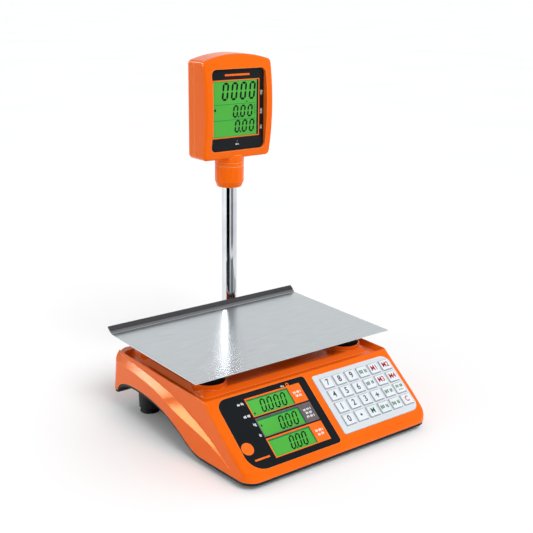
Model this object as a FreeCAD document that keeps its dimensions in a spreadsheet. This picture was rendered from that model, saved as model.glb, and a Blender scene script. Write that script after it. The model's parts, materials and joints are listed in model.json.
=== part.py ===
"""Retail price scale: a counter scale with a stainless pan, a sloping console and a display on a pole.

Millimetres. +Z is up and the scale stands on Z = 0. The console faces -Y, and +X is the shopkeeper's
right hand. The origin is the middle of the scale's footprint, on the surface it stands on.
"""
import FreeCAD, Part
import math
import os
import re
import Sketcher
from FreeCAD import Placement, Rotation, Vector

SIZES = (
    # The weighing pan, a flat stainless sheet with a raised rear lip.
    ("pan_width", 330.0), ("pan_depth", 214.0), ("pan_front", -85.0), ("pan_top", 112.0),
    ("pan_sheet", 1.2), ("lip_back", 10.0), ("lip_up", 7.5), ("guard_wall", 0.9),
    ("pan_tab_length", 14.0), ("pan_tab_drop", 7.0), ("pan_tab_inset", 23.5),
    # The housing's outline.
    ("core_half", 157.0), ("flank_half", 165.0), ("nose_half", 154.5), ("body_front", -183.0),
    ("body_rear", 131.0), ("taper_start", -30.0), ("front_corner", 20.0), ("rear_foot_corner", 3.0),
    ("rear_top_corner", 18.0), ("ridge_corner", 16.0), ("ridge_edge", 1.5), ("console_edge", 5.0),
    ("shoulder_height", 87.5), ("console_top", -91.9), ("console_tilt", 37.9),
    ("seam_height", 11.0), ("wall", 2.5), ("rim_depth", 4.0), ("rear_seam", 31.0),
    # The deck under the pan and the trough round it.
    ("deck_half", 137.0), ("deck_front", -65.4), ("deck_height", 86.4), ("deck_floor", 83.4),
    ("ridge_width", 5.0), ("trough_floor", 80.0), ("trough_slope", 5.0), ("trough_gap", 12.0),
    ("trough_rear", 118.0), ("trough_corner", 9.0), ("deck_corner", 10.0), ("deck_edge", 1.2),
    ("deck_well_half", 91.0), ("deck_well_corner", 10.0),
    ("ring_radius", 23.5), ("ring_top", 92.5), ("ring_edge", 0.9), ("well_radius", 21.5),
    ("post_hole", 13.0),
    # The four supports and the carrier they stand on.
    ("support_x", 117.0), ("support_front", -43.0), ("support_rear", 87.0), ("cup_radius", 20.0),
    ("cup_foot_radius", 17.5), ("cup_bottom", 88.5), ("post_radius", 11.0), ("post_top", 100.0),
    ("carrier_length", 256.0), ("carrier_depth", 156.0), ("carrier_sheet", 3.0), ("carrier_flange", 9.0),
    # The load cell, along X under the carrier.
    ("cell_length", 130.0), ("cell_width", 30.0), ("cell_height", 22.0), ("cell_y", 22.0),
    ("spacer_length", 34.0), ("spacer_height", 8.0), ("cell_hole", 13.0), ("cell_hole_pitch", 12.0),
    # The belly of the lower housing.
    ("belly_half", 98.0), ("belly_front", -52.0), ("belly_rear", 112.0), ("belly_bottom", 14.0),
    ("belly_lean", 0.28),
    # The feet.
    ("foot_front_x", 122.0), ("foot_front_y", -150.0), ("foot_rear_x", 128.0), ("foot_rear_y", 92.0),
    ("foot_radius", 14.0), ("foot_height", 7.0), ("stud_radius", 3.0), ("stud_length", 12.0),
    ("tower_radius", 16.5), ("tower_taper", 1.5), ("tower_height", 38.0), ("front_boss_radius", 7.0),
    ("front_boss_height", 16.0), ("running_gap", 0.08),
    # The screws that hold the housings together.
    ("screw_x", 151.0), ("screw_front_y", -84.0), ("screw_rear_y", 58.0), ("arch_top", 52.2),
    ("boss_radius", 3.4), ("screw_hole", 1.7), ("head_screw_hole", 1.6), ("bracket_screw_hole", 2.1),
    # The console's panels, laid out down the slope from its top edge.
    ("panel_left", -142.5), ("panel_right", -0.5), ("panel_top", 3.4), ("panel_bottom", 106.5),
    ("panel_sheet", 2.0), ("panel_proud", 0.4), ("panel_big_round", 24.0), ("panel_mid_round", 14.0),
    ("panel_small_round", 5.0), ("ledge", 5.0), ("side_ledge", 2.4), ("recess_gap", 0.25),
    ("post_reach", 4.6), ("post_margin", 2.6), ("board_margin", 4.5), ("board_bottom", 90.0),
    ("plate_left", 10.3), ("plate_right", 147.7), ("plate_top", 8.8), ("plate_bottom", 99.7),
    ("plate_sheet", 1.5), ("plate_proud", 0.8), ("plate_big_round", 13.0), ("plate_small_round", 3.0),
    ("plate_window_round", 7.6),
    ("key_first_x", 28.5), ("key_pitch_x", 21.4), ("key_first_down", 23.9), ("key_pitch_down", 19.3),
    ("key_width", 16.6), ("key_length", 15.4), ("key_proud", 2.6), ("key_flange", 0.8),
    ("key_flange_sheet", 1.4), ("key_gap", 0.35), ("key_travel", 1.2), ("key_draft", 6.0),
    ("lcd_left", -102.5), ("lcd_right", -33.0), ("lcd_first_down", 12.0), ("lcd_pitch", 29.6),
    ("lcd_height", 27.0), ("lcd_depth", 3.0), ("board_sheet", 1.6), ("rubber_sheet", 1.5),
    # The battery under the console, its sliding door, the rocker switch and the charging jack.
    ("battery_length", 97.0), ("battery_width", 48.0), ("battery_height", 33.0), ("battery_rear", -80.0),
    ("door_width", 95.0), ("door_length", 52.0), ("door_tongue", 4.0), ("door_tongue_sheet", 1.7),
    ("door_sheet", 3.9),
    ("door_gap", 0.4), ("switch_x", -78.0), ("switch_z", 58.0), ("switch_width", 21.0),
    ("switch_height", 15.0), ("rocker_tilt", 8.0), ("jack_x", -110.0), ("jack_z", 58.0),
    ("jack_radius", 2.8), ("jack_body", 6.0), ("jack_depth", 9.0),
    # The pole and the bracket that holds it behind the housing.
    ("pole_x", 59.6), ("pole_y", 161.0), ("pole_radius", 11.5), ("pole_wall", 1.2), ("pole_bottom", 40.0),
    ("pole_top", 356.0), ("socket_radius", 16.5), ("socket_top", 82.0), ("arm_half", 15.0),
    ("flange_sheet", 4.0), ("bracket_screw_x", 26.0),
    ("arm_top", 26.0), ("flange_half", 34.0), ("cable_radius", 2.4), ("cable_height", 20.0),
    ("cable_bend", 12.0), ("cable_start", 84.0), ("cable_top", 372.0),
    # The display head on top of the pole.
    ("head_half", 60.0), ("head_bottom", 338.0), ("head_corner", 480.0), ("head_crown", 490.0),
    ("head_front", 141.0), ("head_bulge", 9.0), ("head_seam", 164.0), ("head_rear", 183.0),
    ("head_wall", 2.4), ("head_round", 7.0), ("head_front_round", 4.0), ("head_rear_round", 6.0),
    ("lens_half", 48.0), ("lens_bottom", 350.5), ("lens_top", 468.7), ("lens_sheet", 2.0),
    ("lens_round", 8.0), ("lens_ledge", 4.0), ("lens_rim", 3.0), ("head_post_radius", 3.6),
    ("head_screw_sink", 3.1), ("head_screw_x", 50.5), ("glass_left", -42.0),
    ("glass_right", 38.5), ("glass_bottom", 370.5), ("glass_top", 452.0), ("glass_depth", 3.0),
    ("neck_radius", 22.0), ("neck_foot_radius", 18.5), ("neck_bottom", 293.0), ("neck_taper", 9.0),
    ("neck_top", 330.5), ("neck_groove", 1.2),
)
SIZE_OF = dict(SIZES)
KEY_COLUMNS = 6
KEY_ROWS = 4
MIRROR = (-1, 1)
# Each console panel's corners: which side, front or rear, and the size that rounds it.
PANEL_CORNERS = {
    "panel": ((-1, -1, "panel_big_round"), (-1, 1, "panel_mid_round"), (1, -1, "panel_small_round"),
              (1, 1, "panel_small_round")),
    "plate": ((-1, -1, "plate_small_round"), (-1, 1, "plate_small_round"), (1, -1, "plate_big_round"),
              (1, 1, "plate_big_round")),
}
# The window under a panel is rounded like it, but leaves room for the corner keys' flanges.
WINDOW_CORNERS = {
    "panel": PANEL_CORNERS["panel"],
    "plate": PANEL_CORNERS["plate"][:2] + ((1, -1, "plate_window_round"), (1, 1, "plate_window_round")),
}
# The side view's curves, as (y, z) from the front to the rear.
SIDE_ARCH = ((-88, 11), (-70, 15), (-41, 31.5), (2, 47), (54, 52), (96, 48), (113, 40), (119, 31))
UPPER_CREASE = ((-156, 18), (-115, 44), (-69.5, 61.4), (21, 79), (112, 86))
LOWER_CREASE = ((-133, 17), (-107, 29), (-60, 45), (-15, 61), (41, 71), (118, 75))
UPPER_CREASE_FRONT, UPPER_CREASE_TOP = -166.0, 86.0
LOWER_CREASE_FRONT, LOWER_CREASE_TOP = -146.0, 75.0

doc = FreeCAD.newDocument("price_scale")
sheet = doc.addObject("Spreadsheet::Sheet", "Sizes")
for row, (alias, value) in enumerate(SIZES, start=1):
    sheet.set(f"A{row}", alias)
    sheet.set(f"B{row}", str(value))
    sheet.setAlias(f"B{row}", alias)
doc.recompute()

parts = []


def size(alias):
    """A driving dimension, read back from the sheet."""
    return float(sheet.get(alias))


def formula(text):
    """Point every alias in a formula at its cell in the sheet."""
    def cell(match):
        word = match.group(0)
        return f"Sizes.{word}" if word in SIZE_OF else word
    return re.sub(r"[a-z][a-z_]*", cell, str(text))


def bind(thing, **formulas):
    """Bind properties to formulas, where place is three of them: x, y and z."""
    place = formulas.pop("place", None)
    for name, text in formulas.items():
        thing.setExpression(name, formula(text))
    for axis, text in zip("xyz", place or ()):
        thing.setExpression(f"Placement.Base.{axis}", formula(text))
    return thing


def keep(thing, name):
    """Name a finished sub-part and put it on the list to write."""
    thing.Label = name
    parts.append(thing)
    return thing


def box(name, length, width, height, place):
    thing = doc.addObject("Part::Box", name)
    return bind(thing, Length=length, Width=width, Height=height, place=place)


def cylinder(name, radius, height, place):
    thing = doc.addObject("Part::Cylinder", name)
    return bind(thing, Radius=radius, Height=height, place=place)


def cone(name, bottom, top, height, place):
    thing = doc.addObject("Part::Cone", name)
    return bind(thing, Radius1=bottom, Radius2=top, Height=height, place=place)


def fuse(name, shapes):
    thing = doc.addObject("Part::MultiFuse", name)
    thing.Shapes = shapes
    return thing


def cut(name, base, tool):
    thing = doc.addObject("Part::Cut", name)
    thing.Base = base
    thing.Tool = tool
    return thing


def group(name, things):
    """Several separate solids in one sub-part."""
    thing = doc.addObject("Part::Compound", name)
    thing.Links = things
    return thing


def is_upright(edge):
    """Whether an edge climbs, rather than lying flat."""
    return edge.BoundBox.ZLength > 1.0


def round_corners(name, plate, corners):
    """Round a plate's upright edges, each corner by its own size."""
    doc.recompute()
    centre = plate.Shape.BoundBox.Center
    thing = doc.addObject("Part::Fillet", name)
    thing.Base = plate
    rounds = []
    for number, edge in enumerate(plate.Shape.Edges, start=1):
        middle = edge.BoundBox.Center - centre
        for side, level, alias in corners:
            if is_upright(edge) and middle.x * side > 0 and middle.y * level > 0:
                rounds.append((number, size(alias), size(alias)))
    thing.Edges = rounds
    return thing


def console_place():
    """The console face's own frame: X to the right, Y up the slope, Z out of the face."""
    lay = Rotation(Vector(1, 0, 0), size("console_tilt"))
    return Placement(Vector(0, size("console_top"), size("shoulder_height")), lay)


def onto_console(thing):
    """Lay a sub-part modelled flat, with Y up the slope, onto the console's face."""
    thing.Placement = console_place()
    return thing


def feature(name, shape):
    thing = doc.addObject("Part::Feature", name)
    thing.Shape = shape
    return thing


# --- Outlines of the housing, as edges in the Y-Z plane -----------------------------------------


def at(x, y, z):
    return Vector(x, y, z)


def line(start, end):
    return Part.LineSegment(start, end).toShape()


def spline(points):
    curve = Part.BSplineCurve()
    curve.interpolate(points)
    return curve.toShape()


def seam_edges(x, front, drop=0.0):
    """The lower edge of the upper housing, from the rear wall to the front, over the side arch."""
    arch = [at(x, y, z - drop) for y, z in reversed(SIDE_ARCH)]
    rear = at(x, size("body_rear"), size("rear_seam") - drop)
    start = at(x, front, size("seam_height") - drop)
    return [line(rear, arch[0]), spline(arch), line(arch[-1], start)]


def console_height(y, fall=0.0):
    """How high the console's face is at a depth, or a surface that lies below it by a fall."""
    slope = math.tan(math.radians(size("console_tilt")))
    return size("shoulder_height") - (size("console_top") - y) * slope - fall


def core_wire(x):
    """The housing's side view: top, console, nose, side arch and rear."""
    front, rear, top = size("body_front"), size("body_rear"), size("shoulder_height")
    corner = at(x, rear, top)
    brow = at(x, size("console_top"), top)
    nose = at(x, front, console_height(front))
    edges = [line(corner, brow), line(brow, nose), line(nose, at(x, front, size("seam_height"))),
             line(at(x, rear, size("rear_seam")), corner)]
    return Part.Wire(Part.__sortEdges__(edges + seam_edges(x, front)))


def hollow_wire(x, wall):
    """The side view of the space inside the housing, which runs on far below its open underside."""
    tilt = math.radians(size("console_tilt"))
    fall = wall / math.cos(tilt)
    front, rear = size("body_front") + wall, size("body_rear") - wall
    top, bottom = size("trough_floor") - wall, size("seam_height") - 60.0
    brow = size("console_top") - (size("shoulder_height") - fall - top) / math.tan(tilt)
    outline = [at(x, rear, top), at(x, brow, top), at(x, front, console_height(front, fall)),
               at(x, front, bottom), at(x, rear, bottom)]
    return Part.makePolygon(outline + outline[:1])


def flank_wire(x, crease, front, top, inset):
    """The side view of the flank below one of its two creases."""
    rear = size("body_rear")
    climb = [at(x, front, size("seam_height") - inset)] + [at(x, y, z - inset) for y, z in crease]
    shelf = at(x, rear, top - inset)
    edges = [spline(climb), line(climb[-1], shelf), line(shelf, at(x, rear, size("rear_seam") - inset))]
    return Part.Wire(Part.__sortEdges__(edges + seam_edges(x, front, inset)))


def flank(side, inset):
    """A flank that swells outward between its two creases."""
    inner = flank_wire(side * (size("core_half") - 4.0 - inset), UPPER_CREASE, UPPER_CREASE_FRONT,
                       UPPER_CREASE_TOP, inset)
    outer = flank_wire(side * (size("flank_half") - inset), LOWER_CREASE, LOWER_CREASE_FRONT,
                       LOWER_CREASE_TOP, inset)
    return Part.makeLoft([inner, outer], True, True)


def graded_fillet(shape, edge, low, high):
    """Round one rising edge by a radius that changes from its foot to its top."""
    first, last = (edge.valueAt(end).z for end in (edge.FirstParameter, edge.LastParameter))
    radii = (low, high) if first < last else (high, low)
    return shape.makeFillet(*radii, [edge])


def plan_prism(inset):
    """The housing's plan: narrower at the nose, its rear corners rounder at the top than at the foot."""
    front = size("body_front") + inset
    rear = size("body_rear") - inset
    wide = size("flank_half") - inset
    narrow = size("nose_half") - inset
    start = size("taper_start")
    outline = [(wide, rear), (wide, start), (narrow, front), (-narrow, front), (-wide, start), (-wide, rear)]
    points = [at(x, y, 0.0) for x, y in outline]
    prism = Part.Face(Part.makePolygon(points + points[:1])).extrude(Vector(0, 0, 100.0))
    nose = [edge for edge in prism.Edges if is_upright(edge) and edge.BoundBox.YMax < front + 1.0]
    prism = prism.makeFillet(size("front_corner") - inset, nose)
    low, high = size("rear_foot_corner") - inset, size("rear_top_corner") - inset
    for side in MIRROR:
        corner = next(edge for edge in prism.Edges if is_upright(edge) and edge.BoundBox.YMin > rear - 1.0
                      and edge.BoundBox.Center.x * side > 0)
        prism = graded_fillet(prism, corner, low, high)
    return prism


def slab(half, front, rear, bottom, top, half_top=None, front_top=None):
    """A block that may lean in or out at its front and sides as it rises."""
    half_top = half if half_top is None else half_top
    front_top = front if front_top is None else front_top
    low = [at(half, front, bottom), at(-half, front, bottom), at(-half, rear, bottom), at(half, rear, bottom)]
    high = [at(half_top, front_top, top), at(-half_top, front_top, top), at(-half_top, rear, top),
            at(half_top, rear, top)]
    wires = [Part.makePolygon(ring + ring[:1]) for ring in (low, high)]
    return Part.makeLoft(wires, True, True)


def flat_block(alias, corners, margin, low, high):
    """A panel's outline on the console, grown or shrunk by a margin, as a block between two heights."""
    left, right = size(f"{alias}_left") - margin, size(f"{alias}_right") + margin
    up, down = margin - size(f"{alias}_top"), -size(f"{alias}_bottom") - margin
    block = Part.makeBox(right - left, up - down, high - low, at(left, down, low))
    for side, level, corner in corners:
        edge = next(edge for edge in block.Edges if is_upright(edge)
                    and (edge.BoundBox.Center.x - (left + right) / 2) * side > 10.0
                    and (edge.BoundBox.Center.y - (up + down) / 2) * level > 10.0)
        block = block.makeFillet(max(size(corner) + margin, 1.0), [edge])
    block.Placement = console_place()
    return block


# --- The housing --------------------------------------------------------------------------------


def support_places():
    """The four supports, front pair first."""
    return [(side * size("support_x"), y) for y in (size("support_front"), size("support_rear"))
            for side in MIRROR]


def round_rising(block, radius, front=True, rear=True):
    """Round a slab's corner edges at its front, its rear or both."""
    middle = block.BoundBox.Center.y
    chosen = [edge for edge in block.Edges if is_upright(edge)
              and (front if edge.BoundBox.Center.y < middle else rear)]
    return block.makeFillet(radius, chosen)


def deck_block(inset, top):
    """The raised deck, leaning in a little as it rises out of the trough."""
    half = size("deck_half") - inset
    slope = size("trough_slope")
    block = slab(half + slope, size("deck_front") - slope + inset, size("body_rear") - inset,
                 size("trough_floor") - inset, top, half, size("deck_front") + inset)
    return round_rising(block, size("deck_corner"), rear=False)


def raised_deck():
    """The deck's outside, with its upper edge softened."""
    block = deck_block(0.0, size("deck_height"))
    rim = [edge for edge in block.Edges if edge.BoundBox.ZMin > size("deck_height") - 0.001
           and edge.BoundBox.Center.y < size("body_rear") - 1.0]
    return block.makeFillet(size("deck_edge"), rim)


def trough_tool():
    """What the trough takes out of the top, on three sides of the deck."""
    half = size("deck_half") + size("trough_gap")
    front = size("deck_front") - size("trough_gap")
    block = slab(half, front, size("trough_rear"), size("trough_floor"), size("shoulder_height") + 1.0,
                 size("core_half") + 0.4, size("console_top") - 1.2)
    return round_rising(block, size("trough_corner"), front=False)


def console_openings():
    """Recesses for the two panels and the windows through the wall beneath them."""
    tools = []
    for alias in PANEL_CORNERS:
        seat = size(f"{alias}_proud") - size(f"{alias}_sheet")
        tools.append(flat_block(alias, PANEL_CORNERS[alias], size("recess_gap"), seat, 5.0))
        tools.append(flat_block(alias, WINDOW_CORNERS[alias], -size("side_ledge"), -size("wall") - 3.0, 0.0))
    return tools


def board_posts():
    """Posts under the console's wall that the keypad and display boards hang on."""
    posts = []
    wall, reach, margin = size("wall"), size("post_reach"), size("post_margin")
    for name in ("panel", "plate"):
        for x in (size(f"{name}_left") - margin, size(f"{name}_right") + margin):
            for down in (size("plate_top") + 4.0, size("board_bottom") - 4.0):
                post = Part.makeCylinder(1.7, reach + 0.5, at(x, -down, -wall - reach))
                post.Placement = console_place().multiply(post.Placement)
                posts.append(post)
    return posts


def on_console(point):
    """Whether a point lies in the plane of the console's face."""
    local = console_place().inverse().multVec(point)
    return abs(local.z) < 0.01


def core():
    """The console and the shoulders as one solid, with the edges that a hand meets rounded."""
    half, top = size("core_half"), size("shoulder_height")
    solid = Part.Face(core_wire(-half)).extrude(Vector(2 * half, 0, 0))
    rear = [edge for edge in solid.Edges
            if is_upright(edge) and edge.BoundBox.YMin > size("body_rear") - 0.01]
    solid = solid.makeFillet(size("ridge_corner"), rear).common(plan_prism(0.0))
    face = [edge for edge in solid.Edges
            if all(on_console(point) for point in edge.discretize(5))
            and edge.BoundBox.Center.y < size("console_top") - 1.0]
    solid = solid.makeFillet(size("console_edge"), face)
    shoulder = [edge for edge in solid.Edges if edge.BoundBox.ZMin > top - 0.01
                and edge.BoundBox.Center.y > size("console_top") + 1.0]
    return solid.makeFillet(size("ridge_edge"), shoulder)


def support_rings():
    """The raised rings round the four cups, with the wells inside them."""
    floor = size("deck_floor") - size("wall")
    rings, wells = [], []
    for x, y in support_places():
        ring = Part.makeCylinder(size("ring_radius"), size("ring_top") - floor, at(x, y, floor))
        crown = [edge for edge in ring.Edges if edge.BoundBox.ZMin > size("ring_top") - 0.01]
        rings.append(ring.makeFillet(size("ring_edge"), crown))
        wells.append(Part.makeCylinder(size("well_radius"), 20.0, at(x, y, size("deck_floor") + 0.6)))
        wells.append(Part.makeCylinder(size("post_hole"), 40.0, at(x, y, size("trough_floor") - 20.0)))
    return rings, wells


def upper_housing():
    """The orange moulding: console, shoulders, swelling flanks and the deck under the pan."""
    wall = size("wall")
    half = size("core_half")
    outer = core().fuse([flank(side, 0.0).common(plan_prism(0.0)) for side in MIRROR])
    outer = outer.cut(trough_tool()).fuse(raised_deck())

    hollow = Part.Face(hollow_wire(wall - half, wall)).extrude(Vector(2 * (half - wall), 0, 0))
    hollow = hollow.fuse([flank(side, wall) for side in MIRROR])
    hollow = hollow.common(plan_prism(wall))
    hollow = hollow.fuse(deck_block(wall + size("ridge_width"), size("deck_floor") - wall))

    ridge = size("ridge_width")
    well = slab(size("deck_well_half"), size("deck_front") + ridge, size("body_rear") - 3 * ridge,
                size("deck_floor"), size("shoulder_height"))
    shell = outer.cut(hollow).cut(round_rising(well, size("deck_well_corner")))
    rings, wells = support_rings()
    shell = shell.fuse(rings).cut(wells)
    shell = shell.cut(console_openings()).fuse(board_posts() + housing_bosses())
    shell = shell.cut(housing_screw_holes(1.0, 30.0) + [switch_window(), jack_hole()])
    return feature("upper_housing", shell.removeSplitter())


def housing_screw_places():
    """The four screws that join the two housings, each at the underside of the base tray."""
    front = (size("screw_front_y"), size("seam_height"))
    rear = (size("screw_rear_y"), size("arch_top"))
    return [(side * size("screw_x"), y, seam - size("rim_depth")) for y, seam in (front, rear)
            for side in MIRROR]


def housing_screw_holes(below, length):
    """A hole for each of those screws, from a little below the tray."""
    return [Part.makeCylinder(size("screw_hole"), length, at(x, y, z - below))
            for x, y, z in housing_screw_places()]


def housing_bosses():
    """Bosses that come down inside the shell to meet the base tray."""
    bosses = []
    for x, y, z in housing_screw_places():
        low = z + size("rim_depth") + 0.6
        high = size("trough_floor") - size("wall") + 0.5
        bosses.append(Part.makeCylinder(size("boss_radius"), high - low, at(x, y, low)))
    return bosses


def switch_window():
    """The rocker switch's window through the rear wall."""
    width, height = size("switch_width") + 0.4, size("switch_height") + 0.4
    corner = at(size("switch_x") - width / 2, size("body_rear") - 8.0, size("switch_z") - height / 2)
    return Part.makeBox(width, 16.0, height, corner)


def jack_hole():
    """The charging jack's hole through the rear wall."""
    foot = at(size("jack_x"), size("body_rear") - 8.0, size("jack_z"))
    return Part.makeCylinder(size("jack_body") + 0.2, 16.0, foot, Vector(0, 1, 0))


def foot_places():
    """Where the four feet stand, front pair first."""
    front, rear = (size("foot_front_x"), size("foot_front_y")), (size("foot_rear_x"), size("foot_rear_y"))
    return [(side * x, y) for x, y in (front, rear) for side in MIRROR]


def rim_sheet(inset, low, high):
    """A sheet that follows the side arch from wall to wall, between two drops below the seam."""
    front = size("body_front") + inset
    half = size("flank_half") - inset
    rear = size("body_rear")
    ends = [line(at(-half, y, seam - low), at(-half, y, seam - high))
            for y, seam in ((front, size("seam_height")), (rear, size("rear_seam")))]
    sides = seam_edges(-half, front, high) + seam_edges(-half, front, low)
    wire = Part.Wire(Part.__sortEdges__(sides + ends))
    return Part.Face(wire).extrude(Vector(2 * half, 0, 0)).common(plan_prism(inset))


def belly(inset, top):
    """The tub under the load cell, which hangs below the arch."""
    half, front = size("belly_half") - inset, size("belly_front") + inset
    rear, bottom = size("belly_rear") - inset, size("belly_bottom") + inset
    spread = (top - bottom) * size("belly_lean")
    return slab(half, front, rear, bottom, top, half + spread, front - spread)


def lower_housing():
    """The black base tray with its rim, belly, foot towers and battery hatch."""
    wall = size("wall")
    rim = rim_sheet(1.0, size("rim_depth"), 0.0)
    rim = rim.cut(rim_sheet(1.0 + wall, size("rim_depth") - wall, -1.0))
    solid = rim.fuse([belly(0.0, 42.0)] + foot_towers())
    solid = solid.cut(belly(wall, 60.0)).fuse(cell_seat())
    thread = size("stud_radius") + size("running_gap")
    solid = solid.cut([Part.makeCylinder(thread, size("stud_length") + 1.0, at(x, y, size("foot_height")))
                       for x, y in foot_places()])
    solid = solid.cut([battery_hatch(), cable_duct(wall)] + bracket_screw_holes())
    solid = solid.cut(housing_screw_holes(3.0, 12.0))
    return feature("lower_housing", solid.removeSplitter())


def foot_towers():
    """Short bosses over the front feet and tall towers over the rear ones, up to the arch."""
    places = foot_places()
    low = size("foot_height")
    bosses = [Part.makeCylinder(size("front_boss_radius"), size("front_boss_height"), at(x, y, low))
              for x, y in places[:2]]
    radius = size("tower_radius")
    towers = [Part.makeCone(radius - size("tower_taper"), radius, size("tower_height"), at(x, y, low))
              for x, y in places[2:]]
    return bosses + towers


def cell_seat():
    """The block on the belly's floor that the load cell's fixed end is screwed to."""
    low = size("belly_bottom") + size("wall") / 2
    high = size("belly_bottom") + size("wall") + size("spacer_height")
    width = size("cell_width")
    return Part.makeBox(size("spacer_length"), width, high - low,
                        at(-size("cell_length") / 2, size("cell_y") - width / 2, low))


def battery_hatch():
    """The hatch under the battery and the two grooves that its door slides in."""
    gap = size("door_gap") / 2
    half = size("door_width") / 2 + gap
    rear = size("battery_rear") + 2.0
    front = rear - size("door_length") - gap
    low = size("seam_height") - size("rim_depth")
    opening = Part.makeBox(2 * half, rear + 20.0 - front, 6.0, at(-half, front, low - 1.0))
    tongue = size("door_tongue")
    groove = Part.makeBox(2 * (half + tongue), rear + 20.0 - front, size("door_tongue_sheet") + 2 * gap,
                          at(-half - tongue, front, low + 1.2))
    return opening.fuse(groove)


def cable_duct(wall):
    """The hole in the belly's rear wall that the pole's cable passes through."""
    foot = at(size("pole_x"), size("belly_rear") - 2 * wall, size("cable_height"))
    return Part.makeCylinder(size("cable_radius") + 0.8, 12.0, foot, Vector(0, 1, 0))


def battery_door():
    """A flat door with a tongue down each side, which slides to the rear."""
    low = size("seam_height") - size("rim_depth")
    rear = "battery_rear + 2"
    front = f"{rear} - door_length"
    panel = box("door_panel", "door_width", "door_length", "door_sheet", ("-door_width / 2", front, low))
    tongue = box("door_tongues", "door_width + 2 * door_tongue - 0.6", "door_length", "door_tongue_sheet",
                 ("-door_width / 2 - door_tongue + 0.3", front, low + 1.4))
    return fuse("battery_door", [panel, tongue])


# --- Feet, supports and weighing works ------------------------------------------------------------


def foot(name, x, y):
    """A screw foot: a pad with a raised boss and the stud that it is moulded on."""
    pad = cone(f"{name}_pad", "foot_radius", "foot_radius - 1.5", "foot_height - 1.2", (x, y, 0))
    boss = cylinder(f"{name}_boss", "foot_radius - 4", "foot_height", (x, y, 0))
    stud = cylinder(f"{name}_stud", "stud_radius", "foot_height + stud_length", (x, y, 0))
    return fuse(name, [pad, boss, stud])


def support_cups():
    """Four rubber cups that the pan rests on, each pressed over a post."""
    cups = []
    for number, (x, y) in enumerate(support_places(), start=1):
        rise = "pan_top - pan_sheet - cup_bottom"
        skirt = cone(f"cup_{number}_skirt", "cup_foot_radius", "cup_radius", f"({rise}) * 0.35",
                     (x, y, "cup_bottom"))
        crown = cylinder(f"cup_{number}_crown", "cup_radius", f"({rise}) * 0.65",
                         (x, y, f"cup_bottom + ({rise}) * 0.35"))
        bore = cylinder(f"cup_{number}_bore", "post_radius", "post_top - cup_bottom", (x, y, "cup_bottom"))
        cups.append(cut(f"cup_{number}", fuse(f"cup_{number}_solid", [skirt, crown]), bore))
    return group("support_cups", cups)


def carrier_height():
    """The underside of the carrier: tray floor, spacer, cell, spacer."""
    return "belly_bottom + wall + 2 * spacer_height + cell_height"


def tray_carrier():
    """A pressed plate with a flange all round and a post under each cup."""
    low = carrier_height()
    left, front = "-carrier_length / 2", "cell_y - carrier_depth / 2"
    plate = box("carrier_plate", "carrier_length", "carrier_depth", "carrier_sheet", (left, front, low))
    walls = []
    for name, y in (("front", front), ("rear", "cell_y + carrier_depth / 2 - carrier_sheet")):
        walls.append(box(f"carrier_{name}", "carrier_length", "carrier_sheet", "carrier_flange",
                         (left, y, low)))
    for name, x in (("left", left), ("right", "carrier_length / 2 - carrier_sheet")):
        walls.append(box(f"carrier_{name}", "carrier_sheet", "carrier_depth", "carrier_flange",
                         (x, front, low)))
    posts = []
    for number, (x, y) in enumerate(support_places(), start=1):
        posts.append(cylinder(f"carrier_post_{number}", "post_radius", f"post_top - ({low})", (x, y, low)))
    solid = fuse("carrier_solid", [plate] + walls + posts)
    screws = group("carrier_bores", [cylinder(f"carrier_bore_{n}", 2.2, 10, (x, y, f"{low} - 2"))
                                     for n, (x, y) in enumerate(cell_screw_places(1), start=1)])
    return cut("tray_carrier", solid, screws)


def cell_screw_places(end):
    """Two screws at one end of the load cell: -1 is the fixed end and 1 the free one."""
    x = end * (size("cell_length") / 2 - size("spacer_length") / 2)
    return [(x, size("cell_y") + side * size("cell_hole_pitch") / 2) for side in MIRROR]


def load_cell():
    """A single-point cell: an aluminium bar with the bending window cut through its middle."""
    low = "belly_bottom + wall + spacer_height"
    bar = box("cell_bar", "cell_length", "cell_width", "cell_height",
              ("-cell_length / 2", "cell_y - cell_width / 2", low))
    tools = []
    middle = f"{low} + cell_height / 2"
    for name, x in (("left", "-cell_hole_pitch / 2 - 4"), ("right", "cell_hole_pitch / 2 + 4")):
        eye = cylinder(f"cell_eye_{name}", "cell_hole / 2", "cell_width + 4",
                       (x, "cell_y + cell_width / 2 + 2", middle))
        eye.Placement.Rotation = Rotation(Vector(1, 0, 0), 90)
        tools.append(eye)
    tools.append(box("cell_slot", "cell_hole_pitch + 8", "cell_width + 4", 4,
                     ("-cell_hole_pitch / 2 - 4", "cell_y - cell_width / 2 - 2", f"{middle} - 2")))
    for end in MIRROR:
        for number, (x, y) in enumerate(cell_screw_places(end), start=1):
            foot_z = f"{low} - 1" if end < 0 else f"{low} + cell_height - 12"
            tools.append(cylinder(f"cell_bore_{end + 1}_{number}", 2.2, 13, (x, y, foot_z)))
    return cut("load_cell", bar, group("cell_tools", tools))


def carrier_spacer():
    """The plate between the cell's free end and the carrier, with two clearance holes."""
    low = "belly_bottom + wall + spacer_height + cell_height"
    plate = box("spacer_plate", "spacer_length", "cell_width", "spacer_height",
                ("cell_length / 2 - spacer_length", "cell_y - cell_width / 2", low))
    bores = [cylinder(f"spacer_bore_{n}", 2.2, "spacer_height + 4", (x, y, f"{low} - 2"))
             for n, (x, y) in enumerate(cell_screw_places(1), start=1)]
    return cut("carrier_spacer", plate, group("spacer_bores", bores))


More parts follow.
